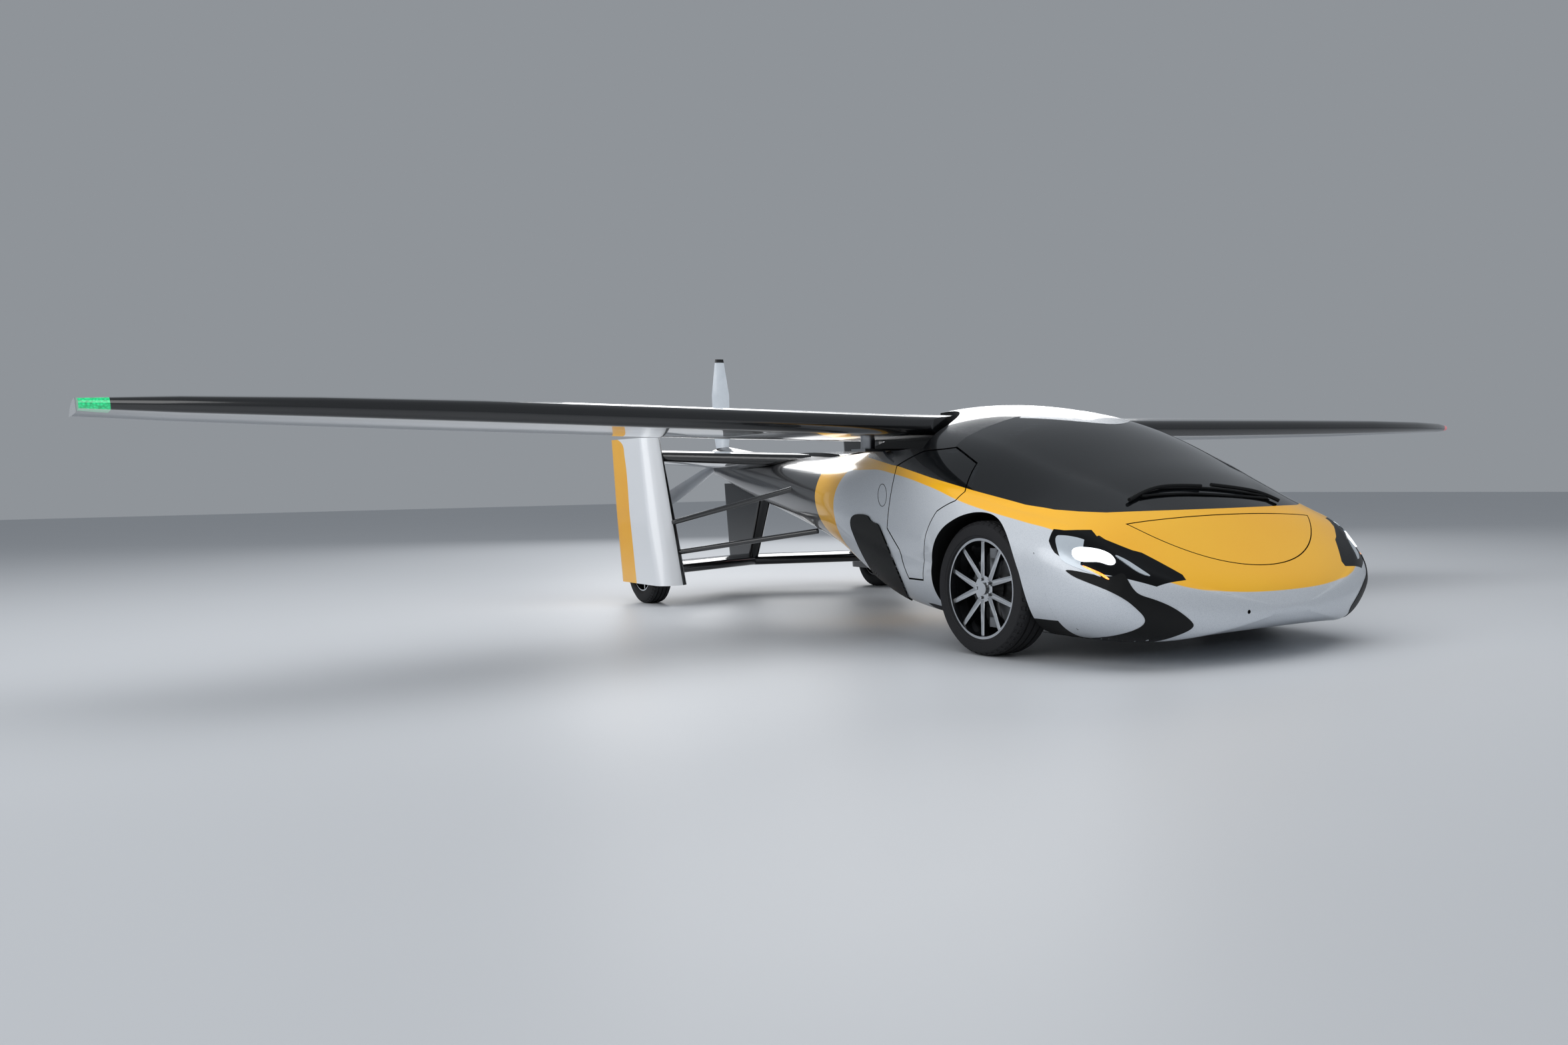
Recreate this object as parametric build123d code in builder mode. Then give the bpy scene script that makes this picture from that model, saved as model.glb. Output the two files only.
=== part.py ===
from build123d import *
import os

os.makedirs("parts", exist_ok=True)

# Flying car, millimetres: +X forward, +Y to the vehicle's left, +Z up, the tyres stand on Z = 0.
# Stations in the tables are measured forward from the front axle.

# Driving dimensions
OVERALL_LENGTH = 5320
FRONT_OVERHANG = 990
WHEELBASE = 3520
FRONT_AXLE_X = OVERALL_LENGTH / 2 - FRONT_OVERHANG
REAR_AXLE_X = FRONT_AXLE_X - WHEELBASE
FRONT_TRACK = 1760
REAR_TRACK = 1950
WALL = 30
PANEL_GAP = 6
DOOR_GAP = 8
SEAT_GAP = 0.3
RUNNING_CLEARANCE = 0.05

FRONT_TYRE_RADIUS = 311
FRONT_TYRE_WIDTH = 205
FRONT_RIM_RADIUS = 233
REAR_TYRE_RADIUS = 225
REAR_TYRE_WIDTH = 145
REAR_RIM_RADIUS = 140
ARCH_RADIUS = 348
ARCH_INNER_Y = 600
LINER_WALL = 12
SILL_Z = 200

WING_PIVOT_STATION = -1150
WING_PIVOT_Y = 780
WING_PIVOT_LEAN = 3.5
WING_END_RADIUS = 450
WING_CLEARANCE = 40
WING_DECK_Z = 960
WING_MID_Z = 1050
PIN_REACH = 55
SPINE_HALF_WIDTH = 105
DECK_WALL = 15
DECK_LENGTH = 1450
PIVOT_PIN_RADIUS = 38

PROP_RADIUS = 760
PROP_CENTRE_Z = 963
PROP_STATION = -4205
BLADE_COUNT = 3
BLADE_ROOT_RADIUS = 70
SPINNER_RADIUS = 100
PROP_SHAFT_RADIUS = 26
TAIL_END_STATION = -4130

COWL_FRONT_STATION = -560
TAIL_FRONT_STATION = -1720
NOSE_REAR_STATION = 470
INNER_FRONT = 900
INNER_REAR = -1750

# Share of the way along a quarter round's width and height at its middle
ROUND_OUT = 0.72
ROUND_UP = 0.29
SIDE_CROWN = 0.12


def at(station):
    """X of a station measured forward from the front axle."""
    return FRONT_AXLE_X + station


def cross_plane(station):
    """Plane across the vehicle at a station, with its own x to the left and y up."""
    return Plane(origin=(at(station), 0, 0), x_dir=(0, 1, 0), z_dir=(1, 0, 0))


def span_plane(y):
    """Plane along the vehicle at a distance from the centre, with its own x forward and y up."""
    return Plane(origin=(0, y, 0), x_dir=(1, 0, 0), z_dir=(0, -1, 0))


# Body sections from nose to tail
# station, then z and half width of the low, waist, belt and rail points, then the top z
BODY = [
    (990, 205, 120, 228, 190, 250, 130, 256, 70, 258),
    (955, 165, 300, 232, 450, 303, 345, 325, 190, 332),
    (870, 130, 450, 265, 740, 368, 610, 396, 330, 405),
    (700, 112, 560, 325, 935, 492, 780, 538, 430, 550),
    (600, 109, 600, 360, 985, 562, 835, 622, 440, 640),
    (500, 108, 640, 395, 1015, 608, 870, 690, 440, 722),
    (350, 110, 670, 408, 1030, 645, 890, 770, 510, 825),
    (195, 115, 700, 420, 1040, 672, 890, 830, 590, 912),
    (-165, 128, 735, 420, 1036, 742, 878, 965, 650, 1085),
    (-500, 148, 745, 420, 935, 800, 865, 1040, 660, 1165),
    (-900, 185, 680, 455, 845, 862, 815, 1075, 630, 1205),
    (-1300, 255, 500, 540, 765, 885, 700, 1080, 500, 1188),
    (-1700, 400, 380, 625, 700, 895, 560, 1030, 340, 1110),
    (-2100, 480, 300, 690, 600, 905, 450, 975, 250, 1010),
    (-2500, 545, 240, 740, 490, 920, 360, 953, 190, 965),
    (-3100, 640, 160, 810, 330, 940, 240, 972, 130, 985),
    (-3600, 730, 110, 870, 215, 972, 155, 1000, 85, 1012),
    (TAIL_END_STATION, 850, 70, PROP_CENTRE_Z - 3, 125, 1045, 80, 1066, 42, 1073),
]


def rounded(start, end):
    """Middle point of a quarter round that leaves the start level and meets the end upright."""
    return (start[0] + (end[0] - start[0]) * ROUND_OUT, start[1] + (end[1] - start[1]) * ROUND_UP)


def flip(point):
    """The same section point on the vehicle's other side."""
    return (-point[0], point[1])


def body_loft(table, inset):
    """Closed solid through the body sections, drawn in by an inset."""
    with BuildPart() as body:
        for station, z_low, w_low, z_waist, w_waist, z_belt, w_belt, z_rail, w_rail, z_top in table:
            low = (w_low - inset / 2, z_low + inset)
            waist = (w_waist - inset, z_waist)
            belt = (w_belt - inset, z_belt - inset / 3)
            rail = (w_rail - inset / 3, z_rail - inset)
            belly = rounded(low, waist)
            flank = rounded(belt, waist)
            rise = rail[1] - belt[1]
            crown = ((belt[0] + rail[0]) / 2 + rise * SIDE_CROWN, (belt[1] + rail[1]) / 2 + rise * SIDE_CROWN)
            with BuildSketch(cross_plane(station)):
                with BuildLine():
                    Line(flip(low), low)
                    ThreePointArc(low, belly, waist)
                    ThreePointArc(waist, flank, belt)
                    ThreePointArc(belt, crown, rail)
                    ThreePointArc(rail, (0, z_top - inset), flip(rail))
                    ThreePointArc(flip(rail), flip(crown), flip(belt))
                    ThreePointArc(flip(belt), flip(flank), flip(waist))
                    ThreePointArc(flip(waist), flip(belly), flip(low))
                make_face()
        loft(ruled=True)
    return body


def block(x_low, x_high, y_low, y_high, z_low, z_high):
    """Plain region between two corners, used to part the shell into panels."""
    with BuildPart() as region:
        with Locations(((x_low + x_high) / 2, (y_low + y_high) / 2, (z_low + z_high) / 2)):
            Box(x_high - x_low, y_high - y_low, z_high - z_low)
    return region


def cut_from(source, keep, *cuts):
    """Panel of a shell inside one region, less the given bodies."""
    with BuildPart() as panel:
        add(source.part)
        add(keep.part, mode=Mode.INTERSECT)
        for cut in cuts:
            add(cut.part, mode=Mode.SUBTRACT)
    return panel


def mirrored(source):
    """The same piece on the vehicle's other side."""
    with BuildPart() as other:
        mirror(source.part, about=Plane.XZ)
    return other


def both(source):
    """A region and its mirror image together."""
    with BuildPart() as pair:
        add(source.part)
        mirror(source.part, about=Plane.XZ)
    return pair


FAR = 2 * OVERALL_LENGTH
TOP_Z = 2 * PROP_CENTRE_Z


def wing_sweep(grow):
    """Room above the deck that both wings sweep as they swing back."""
    with BuildPart() as room:
        for side in (-1, 1):
            foot = WING_DECK_Z - grow
            with Locations((at(WING_PIVOT_STATION), side * WING_PIVOT_Y, foot)):
                Cylinder(WING_END_RADIUS + WING_CLEARANCE + grow, TOP_Z,
                         align=(Align.CENTER, Align.CENTER, Align.MIN))
            inner = Align.MIN if side > 0 else Align.MAX
            with Locations((at(WING_PIVOT_STATION) + PANEL_GAP + grow, side * (SPINE_HALF_WIDTH - grow), foot)):
                Box(DECK_LENGTH, OVERALL_LENGTH, TOP_Z, align=(Align.MAX, inner, Align.MIN))
    return room


# Shell of the body
body_outer = body_loft(BODY, 0)
rows_inside = [row for row in BODY if INNER_FRONT > row[0] > INNER_REAR]
body_inner = body_loft(rows_inside, WALL)
sweep_room = wing_sweep(0)
with BuildPart() as shell:
    add(body_outer.part)
    add(body_inner.part, mode=Mode.SUBTRACT)
    add(sweep_room.part, mode=Mode.SUBTRACT)

# Door outline on an upright plane beside the cabin, from the front upper corner round by the sill: station, z
DOOR = [(-225, 900), (-225, 705), (-330, 650), (-409, 528), (-470, 320), (-640, 325), (-745, 469),
        (-885, 577), (-835, 895), (-640, 965), (-420, 985)]
DOOR_PLANE_Y = 900
DOOR_REACH = 265
DOOR_DRAW_ANGLE = 12
HINGE_ROOM_STATION = -330
FRAME_LAP = 25
FRAME_WALL = 16
ROOF_FRONT_STATION = -430
ROOF_EDGE_Z = 1125

# Hood outline on a plane that lies along the sloping nose, measured down the slope from the plane's origin
HOOD_STATION = 700
HOOD_Z = 550
HOOD_SLOPE = 40
HOOD_REAR = -120
HOOD_FRONT = 208
HOOD_HALF_WIDTH = 629
HOOD_DEPTH = 140
HOOD_HEIGHT = 340


def door_prism(grow):
    """Region of the right door, drawn outward and a little up, its outline grown or shrunk all round."""
    with BuildPart() as region:
        with BuildSketch(span_plane(-DOOR_PLANE_Y)):
            with BuildLine():
                Polyline(*[(at(station), z) for station, z in DOOR], close=True)
            make_face()
            if grow:
                offset(amount=grow, kind=Kind.INTERSECTION)
        extrude(amount=DOOR_REACH, dir=Vector(0, -1, 0).rotate(Axis.X, -DOOR_DRAW_ANGLE), both=True)
    return region


def hood_prism(grow):
    """Region of the hood, square to the sloping nose: an arched front edge and a straight rear one."""
    slope = Plane(origin=(at(HOOD_STATION), 0, HOOD_Z)).rotated((0, HOOD_SLOPE, 0))
    with BuildPart() as region:
        with BuildSketch(slope.offset(-HOOD_DEPTH)):
            with BuildLine():
                ThreePointArc((HOOD_REAR, -HOOD_HALF_WIDTH), (HOOD_FRONT, 0), (HOOD_REAR, HOOD_HALF_WIDTH))
                Line((HOOD_REAR, HOOD_HALF_WIDTH), (HOOD_REAR, -HOOD_HALF_WIDTH))
            make_face()
            if grow:
                offset(amount=grow, kind=Kind.INTERSECTION)
        extrude(amount=HOOD_HEIGHT)
    return region


# Lower edge of the glass in side view, from the foot of the windscreen back to the wing: station, z
GLASS_EDGE = [(660, 660), (500, 658), (435, 662), (195, 694), (-165, 758), (-830, 880), (-1300, 935)]


def canopy_prism():
    """Region above the lower edge of the glass, and ahead of the wing pivots."""
    with BuildPart() as region:
        with BuildSketch(span_plane(FAR)):
            with BuildLine():
                edge = [(at(station), z) for station, z in GLASS_EDGE]
                Polyline(*edge, (edge[-1][0], TOP_Z), (edge[0][0], TOP_Z), close=True)
            make_face()
        extrude(amount=2 * FAR)
    return region


# Head lamp outline in side view: station, z
LAMP = [(455, 592), (560, 588), (720, 492), (868, 380), (848, 358), (700, 415), (600, 450), (520, 498), (472, 545)]
LAMP_INNER_Y = 560

with BuildPart() as lamp_region:
    with BuildSketch(span_plane(-LAMP_INNER_Y)):
        with BuildLine():
            Polyline(*[(at(station), z) for station, z in LAMP], close=True)
        make_face()
    extrude(amount=FRONT_TRACK)
lamp_regions = both(lamp_region)

with BuildPart() as arches:
    for side in (-1, 1):
        with Locations(Plane(origin=(FRONT_AXLE_X, side * ARCH_INNER_Y, FRONT_TYRE_RADIUS), z_dir=(0, side, 0))):
            Cylinder(ARCH_RADIUS, FRONT_TRACK, align=(Align.CENTER, Align.CENTER, Align.MIN))

door_openings = both(door_prism(DOOR_GAP))
hood_opening = hood_prism(PANEL_GAP)
canopy = canopy_prism()
nose_x = at(NOSE_REAR_STATION)
cowl_x = at(COWL_FRONT_STATION)
tail_x = at(TAIL_FRONT_STATION)
roof_x = at(ROOF_FRONT_STATION)

# Threaded hole for the tow eye, in the solid nose
TOW_EYE_RADIUS = 9
TOW_EYE_Y = -280
TOW_EYE_Z = 230
TOW_EYE_STATION = 915
with BuildPart() as tow_eye_hole:
    with Locations(Plane(origin=(at(TOW_EYE_STATION), TOW_EYE_Y, TOW_EYE_Z), z_dir=(1, 0, 0))):
        Cylinder(TOW_EYE_RADIUS, FRONT_OVERHANG, align=(Align.CENTER, Align.CENTER, Align.MIN))

# Body panels
nose_panel = cut_from(shell, block(nose_x, FAR, -FAR, FAR, 0, TOP_Z), canopy, hood_opening, lamp_regions,
                      tow_eye_hole)
fender_right = cut_from(shell, block(cowl_x, nose_x, -FAR, 0, SILL_Z, TOP_Z), canopy, door_openings, arches,
                        lamp_regions)
fender_left = mirrored(fender_right)
hood = cut_from(shell, hood_prism(0))
door_right = cut_from(shell, door_prism(0), canopy)
door_left = mirrored(door_right)
rear_cowl = cut_from(shell, block(tail_x, cowl_x, -FAR, FAR, 0, TOP_Z), canopy, door_openings)
tail_body = cut_from(shell, block(-FAR, tail_x, -FAR, FAR, 0, TOP_Z))
head_lamps = cut_from(shell, lamp_regions, hood_opening)

# Canopy pieces
glass_shell = cut_from(shell, canopy, door_openings)
windscreen = cut_from(glass_shell, block(roof_x, FAR, -FAR, FAR, 0, TOP_Z))
roof = cut_from(glass_shell, block(-FAR, roof_x, -FAR, FAR, ROOF_EDGE_Z, TOP_Z))
shoulder_panels = cut_from(glass_shell, block(-FAR, roof_x, -FAR, FAR, 0, ROOF_EDGE_Z))
with BuildPart() as door_glass_right:
    add(shell.part)
    add(door_prism(0).part, mode=Mode.INTERSECT)
    add(canopy.part, mode=Mode.INTERSECT)
door_glass_left = mirrored(door_glass_right)

# Floor pan and the housings round the front wheels
floor_pan = cut_from(shell, block(cowl_x, nose_x, -FAR, FAR, 0, SILL_Z), arches)
with BuildPart() as wheel_housings:
    for side in (-1, 1):
        with Locations(Plane(origin=(FRONT_AXLE_X, side * (ARCH_INNER_Y - LINER_WALL), FRONT_TYRE_RADIUS),
                             z_dir=(0, side, 0))):
            Cylinder(ARCH_RADIUS + LINER_WALL, FRONT_TRACK, align=(Align.CENTER, Align.CENTER, Align.MIN))
    add(arches.part, mode=Mode.SUBTRACT)
    add(body_inner.part, mode=Mode.INTERSECT)

# Deck under the folding wings
with BuildPart() as wing_deck:
    add(wing_sweep(DECK_WALL).part)
    add(sweep_room.part, mode=Mode.SUBTRACT)
    add(body_inner.part, mode=Mode.INTERSECT)

# Frames that the closed doors and hood rest on, just inside the skin
frame_outer = body_loft(rows_inside, WALL + SEAT_GAP)
frame_inner = body_loft(rows_inside, WALL + SEAT_GAP + FRAME_WALL)
with BuildPart() as frame_shell:
    add(frame_outer.part)
    add(frame_inner.part, mode=Mode.SUBTRACT)
hinge_room = cut_from(door_openings, block(at(HINGE_ROOM_STATION), FAR, -FAR, FAR, 0, TOP_Z))
door_frames = cut_from(frame_shell, both(door_prism(FRAME_LAP)), both(door_prism(-FRAME_LAP)),
                       wing_sweep(DECK_WALL), hinge_room)
hood_frame = cut_from(frame_shell, hood_prism(FRAME_LAP), hood_prism(-FRAME_LAP))

# Airfoil proportions: shares of chord and thickness, and half the tail edge
INCIDENCE = 0.03
NOSE_ROUND = 0.36
CREST = 0.36
BACK = 0.55
BELLY = 0.45
TAIL_HALF = 3


def airfoil_loft(table):
    """Right-hand surface through wing sections: round nose, arched back, flatter belly, blunt tail."""
    with BuildPart() as surface:
        for y, nose, tail, z, thickness in table:
            chord = nose - tail
            crest = at(nose) - CREST * chord
            nose_r = NOSE_ROUND * thickness
            upper = (at(nose) - nose_r, z + nose_r)
            lower = (at(nose) - nose_r, z - nose_r)
            tail_z = z - INCIDENCE * chord
            with BuildSketch(span_plane(-y)):
                with BuildLine():
                    ThreePointArc(lower, (at(nose), z), upper)
                    ThreePointArc(upper, (crest, z + BACK * thickness), (at(tail), tail_z + TAIL_HALF))
                    Line((at(tail), tail_z + TAIL_HALF), (at(tail), tail_z - TAIL_HALF))
                    ThreePointArc((at(tail), tail_z - TAIL_HALF), (crest, z - BELLY * thickness), lower)
                make_face()
        loft(ruled=True)
    return surface


# Right wing sections: distance from the centre, nose station, tail station, z, thickness
WING = [
    (280, -700, -1780, 1080, 132),
    (800, -700, -1780, 1080, 132),
    (1400, -682, -1768, 1087, 132),
    (2200, -645, -1712, 1097, 126),
    (3000, -612, -1650, 1107, 116),
    (3600, -665, -1598, 1115, 100),
    (4050, -775, -1550, 1121, 82),
    (4360, -905, -1500, 1126, 52),
]
LIGHT_SPAN = 95
LIGHT_TAIL_STATION = -1010

wing_blank = airfoil_loft(WING)

with BuildPart() as wing_plan:
    with Locations((at(WING_PIVOT_STATION), -WING_PIVOT_Y, 0)):
        Cylinder(WING_END_RADIUS, TOP_Z, align=(Align.CENTER, Align.CENTER, Align.MIN))
        Box(FAR, FAR, TOP_Z, align=(Align.CENTER, Align.MAX, Align.MIN))


def pivot_rod(radius, reach):
    """Leaning rod along the right wing's pivot, square at its head and cut level at the deck."""
    middle = Plane(origin=(at(WING_PIVOT_STATION), -WING_PIVOT_Y, WING_MID_Z)).rotated((0, WING_PIVOT_LEAN, 0))
    with BuildPart() as rod:
        with Locations(middle.offset(reach)):
            Cylinder(radius, 4 * PIN_REACH, align=(Align.CENTER, Align.CENTER, Align.MAX))
        add(block(-FAR, FAR, -FAR, FAR, WING_DECK_Z, TOP_Z).part, mode=Mode.INTERSECT)
    return rod


tip_region = block(at(LIGHT_TAIL_STATION), FAR, -FAR, LIGHT_SPAN - WING[-1][0], 0, TOP_Z)
wing_right = cut_from(wing_blank, wing_plan, pivot_rod(PIVOT_PIN_RADIUS + RUNNING_CLEARANCE, PIN_REACH + SEAT_GAP),
                      tip_region)
wing_left = mirrored(wing_right)
nav_light_right = cut_from(wing_blank, tip_region)
nav_light_left = mirrored(nav_light_right)

# Pivot pins, each on a plate that sits on the deck
PIVOT_PLATE_LENGTH = 130
PIVOT_PLATE_INNER_Y = 560
PIVOT_PLATE_WALL = 15
with BuildPart() as wing_pin:
    add(pivot_rod(PIVOT_PIN_RADIUS, PIN_REACH).part)
    half_plate = PIVOT_PLATE_LENGTH / 2
    add(block(at(WING_PIVOT_STATION) - half_plate, at(WING_PIVOT_STATION) + half_plate, -WING_PIVOT_Y - half_plate,
              -PIVOT_PLATE_INNER_Y, WING_DECK_Z, WING_DECK_Z + PIVOT_PLATE_WALL).part)
wing_pins = both(wing_pin)

# Right fin sections: z, nose station, tail station, thickness
FIN = [(140, -3115, -3800, 220), (600, -3240, -3860, 200), (1110, -3375, -3925, 150)]
FIN_ROUND = 0.42
FIN_Y = REAR_TRACK / 2
WELL_CLEARANCE = 15
LAMP_STRIP = [(-3828, 660), (-3878, 1020), (-4000, 1020), (-4000, 660)]

with BuildPart() as fin_blank:
    for z, nose, tail, thickness in FIN:
        with BuildSketch(Plane(origin=(at((nose + tail) / 2), -FIN_Y, z))):
            RectangleRounded(nose - tail, thickness, FIN_ROUND * thickness)
    loft(ruled=True)

with BuildPart() as tail_lamp_region:
    with BuildSketch(span_plane(0)):
        with BuildLine():
            Polyline(*[(at(station), z) for station, z in LAMP_STRIP], close=True)
        make_face()
    extrude(amount=FRONT_TRACK)

with BuildPart() as rear_well:
    with Locations(Plane(origin=(REAR_AXLE_X, -FIN_Y, REAR_TYRE_RADIUS), z_dir=(0, -1, 0))):
        Cylinder(REAR_TYRE_RADIUS + WELL_CLEARANCE, REAR_TYRE_WIDTH + WELL_CLEARANCE)
    with Locations((REAR_AXLE_X, -FIN_Y, 0)):
        Box(2 * (REAR_TYRE_RADIUS + WELL_CLEARANCE), REAR_TYRE_WIDTH + WELL_CLEARANCE, REAR_TYRE_RADIUS,
            align=(Align.CENTER, Align.CENTER, Align.MIN))

with BuildPart() as fin_right:
    add(fin_blank.part)
    add(rear_well.part, mode=Mode.SUBTRACT)
    add(tail_lamp_region.part, mode=Mode.SUBTRACT)
fin_left = mirrored(fin_right)
tail_lamps = both(cut_from(fin_blank, tail_lamp_region))

# Stabilizer halves, lower beam and pylon
STABILIZER = [(120, -2750, -3980, 945, 110), (FIN_Y + 20, -3450, -3900, 990, 85)]
LOWER_BEAM = [(0, -3750, -4130, 228, 84), (FIN_Y + 20, -3190, -3590, 240, 84)]
PYLON = [(234, -3770, -4100, 80), (800, -3500, -4130, 110)]

with BuildPart() as stabilizer_half:
    add(airfoil_loft(STABILIZER).part)
    add(body_outer.part, mode=Mode.SUBTRACT)
    add(fin_blank.part, mode=Mode.SUBTRACT)
stabilizer = both(stabilizer_half)

with BuildPart() as beam_half:
    add(airfoil_loft(LOWER_BEAM).part)
    add(fin_blank.part, mode=Mode.SUBTRACT)
lower_beam = both(beam_half)

with BuildPart() as pylon:
    for z, nose, tail, thickness in PYLON:
        with BuildSketch(Plane(origin=(at((nose + tail) / 2), 0, z))):
            RectangleRounded(nose - tail, thickness, FIN_ROUND * thickness)
    loft()
    add(body_outer.part, mode=Mode.SUBTRACT)
    add(lower_beam.part, mode=Mode.SUBTRACT)

# Struts of the right side, from the fin forward to the tail body: two ends as station, y, z
STRUTS = [((-3330, -960, 530), (-2200, -450, 800)), ((-3300, -960, 340), (-2260, -400, 500))]
STRUT_RADIUS = 17
with BuildPart() as strut_pair:
    for (s_fin, y_fin, z_fin), (s_body, y_body, z_body) in STRUTS:
        start = Vector(at(s_fin), y_fin, z_fin)
        run = Vector(at(s_body), y_body, z_body) - start
        with BuildSketch(Plane(origin=start, z_dir=run)):
            Circle(STRUT_RADIUS)
        extrude(amount=run.length)
    add(body_outer.part, mode=Mode.SUBTRACT)
    add(fin_blank.part, mode=Mode.SUBTRACT)
struts = both(strut_pair)

# Propeller: blade sections along the upright blade: radius, width, thickness, pitch angle
BLADE = [(40, 86, 44, 52), (220, 128, 26, 38), (500, 130, 17, 27), (PROP_RADIUS, 62, 9, 21)]
HUB_LENGTH = 120
SPINNER_FLAT = 14
SHAFT_DEPTH = 60
prop_x = at(PROP_STATION)
spinner_tip_x = -OVERALL_LENGTH / 2
hub_plane = Plane(origin=(prop_x, 0, PROP_CENTRE_Z), x_dir=(0, 1, 0), z_dir=(1, 0, 0))

with BuildPart() as blade:
    for radius, width, thickness, pitch in BLADE:
        with BuildSketch(Plane(origin=(prop_x, 0, PROP_CENTRE_Z + radius)).rotated((0, 0, 90 - pitch))):
            with BuildLine():
                ThreePointArc((-width / 2, 0), (0, thickness / 2), (width / 2, 0))
                ThreePointArc((width / 2, 0), (0, -thickness / 2), (-width / 2, 0))
            make_face()
    loft(ruled=True)

with BuildPart() as propeller:
    for turn in range(BLADE_COUNT):
        add(blade.part.rotate(Axis((prop_x, 0, PROP_CENTRE_Z), (1, 0, 0)), 360 / BLADE_COUNT * turn))
    with BuildSketch(Plane(origin=(0, 0, PROP_CENTRE_Z), x_dir=(1, 0, 0), z_dir=(0, -1, 0))):
        with BuildLine():
            front = at(TAIL_END_STATION) - PANEL_GAP
            shoulder = prop_x - HUB_LENGTH / 2
            Line((spinner_tip_x, 0), (front + SHAFT_DEPTH, 0))
            Line((front + SHAFT_DEPTH, 0), (front + SHAFT_DEPTH, PROP_SHAFT_RADIUS))
            Line((front + SHAFT_DEPTH, PROP_SHAFT_RADIUS), (front, PROP_SHAFT_RADIUS))
            Line((front, PROP_SHAFT_RADIUS), (front, SPINNER_RADIUS))
            Line((front, SPINNER_RADIUS), (shoulder, SPINNER_RADIUS))
            ThreePointArc((shoulder, SPINNER_RADIUS), ((shoulder + spinner_tip_x) / 2, SPINNER_RADIUS * 0.8),
                          (spinner_tip_x, SPINNER_FLAT))
            Line((spinner_tip_x, SPINNER_FLAT), (spinner_tip_x, 0))
        make_face()
    revolve(axis=Axis((0, 0, PROP_CENTRE_Z), (1, 0, 0)))

with BuildPart() as tail_body_bored:
    add(tail_body.part)
    with Locations(Plane(origin=(at(TAIL_END_STATION), 0, PROP_CENTRE_Z), z_dir=(1, 0, 0))):
        Cylinder(PROP_SHAFT_RADIUS + RUNNING_CLEARANCE, SHAFT_DEPTH,
                 align=(Align.CENTER, Align.CENTER, Align.MIN), mode=Mode.SUBTRACT)

# Wheels
SPOKE_COUNT = 10
RIM_WALL = 18
HUB_RADIUS = 60
SPINDLE_RADIUS = 28
REAR_SPINDLE_RADIUS = 18
DISC_RADIUS = 125


def wheel_section(x, y, z, side):
    """Plane through an axle with its own x as radius and y outward."""
    return Plane(origin=(x, y, z), x_dir=(0, 0, 1), z_dir=(-side, 0, 0))


def make_tyre(x, y, outer, inner, width, side):
    """Tyre: straight bead seat, bulging side walls, rounded shoulders, flat tread."""
    half = width / 2
    bead = 0.82 * half
    edge = 0.9 * half
    flat = 0.66 * half
    drop = 0.2 * (outer - inner)
    with BuildPart() as tyre:
        with BuildSketch(wheel_section(x, y, outer, side)):
            with BuildLine():
                Line((inner, -bead), (inner, bead))
                ThreePointArc((inner, bead), ((inner + outer) / 2, half), (outer - drop, edge))
                ThreePointArc((outer - drop, edge), (outer - 0.25 * drop, 0.8 * half), (outer, flat))
                Line((outer, flat), (outer, -flat))
                ThreePointArc((outer, -flat), (outer - 0.25 * drop, -0.8 * half), (outer - drop, -edge))
                ThreePointArc((outer - drop, -edge), ((inner + outer) / 2, -half), (inner, -bead))
            make_face()
        revolve(axis=Axis((x, y, outer), (0, 1, 0)))
    return tyre


def make_rim(x, y, axle_z, radius, width, bore, side, spokes, disc):
    """Rim: barrel, hub, tapered spokes near the outer face and a brake disc behind them."""
    half = 0.82 * width / 2
    face = 0.55 * half
    spoke_depth = 0.2 * width
    with BuildPart() as rim:
        with BuildSketch(wheel_section(x, y, axle_z, side)):
            with Locations((radius - RIM_WALL / 2, 0)):
                Rectangle(RIM_WALL, 2 * half)
            with Locations(((HUB_RADIUS + bore) / 2, (face + spoke_depth - 0.35 * half) / 2)):
                Rectangle(HUB_RADIUS - bore, face + spoke_depth + 0.35 * half)
            if disc:
                with Locations(((disc + bore) / 2, -0.3 * half)):
                    Rectangle(disc - bore, 0.22 * half)
        revolve(axis=Axis((x, y, axle_z), (0, 1, 0)))
        with BuildSketch(Plane(origin=(x, y + side * face, axle_z), x_dir=(1, 0, 0), z_dir=(0, side, 0))):
            with PolarLocations(0, spokes):
                with BuildLine():
                    root = 0.4 * HUB_RADIUS
                    tip = 0.2 * HUB_RADIUS + 4
                    Polyline((HUB_RADIUS - 12, -root), (radius - RIM_WALL / 2, -tip),
                             (radius - RIM_WALL / 2, tip), (HUB_RADIUS - 12, root), close=True)
                make_face()
        extrude(amount=spoke_depth)
    return rim


WHEELS = [
    ("front", FRONT_AXLE_X, FRONT_TRACK / 2, FRONT_TYRE_RADIUS, FRONT_RIM_RADIUS, FRONT_TYRE_WIDTH,
     SPINDLE_RADIUS, DISC_RADIUS),
    ("rear", REAR_AXLE_X, REAR_TRACK / 2, REAR_TYRE_RADIUS, REAR_RIM_RADIUS, REAR_TYRE_WIDTH,
     REAR_SPINDLE_RADIUS, 0),
]
wheels = {}
for name, x, y, outer, inner, width, spindle, disc in WHEELS:
    for side_name, side in (("right", -1), ("left", 1)):
        wheels[f"tyre_{name}_{side_name}"] = make_tyre(x, side * y, outer, inner + SEAT_GAP, width, side)
        wheels[f"rim_{name}_{side_name}"] = make_rim(x, side * y, outer, inner, width,
                                                     spindle + RUNNING_CLEARANCE, side, SPOKE_COUNT, disc)

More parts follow.
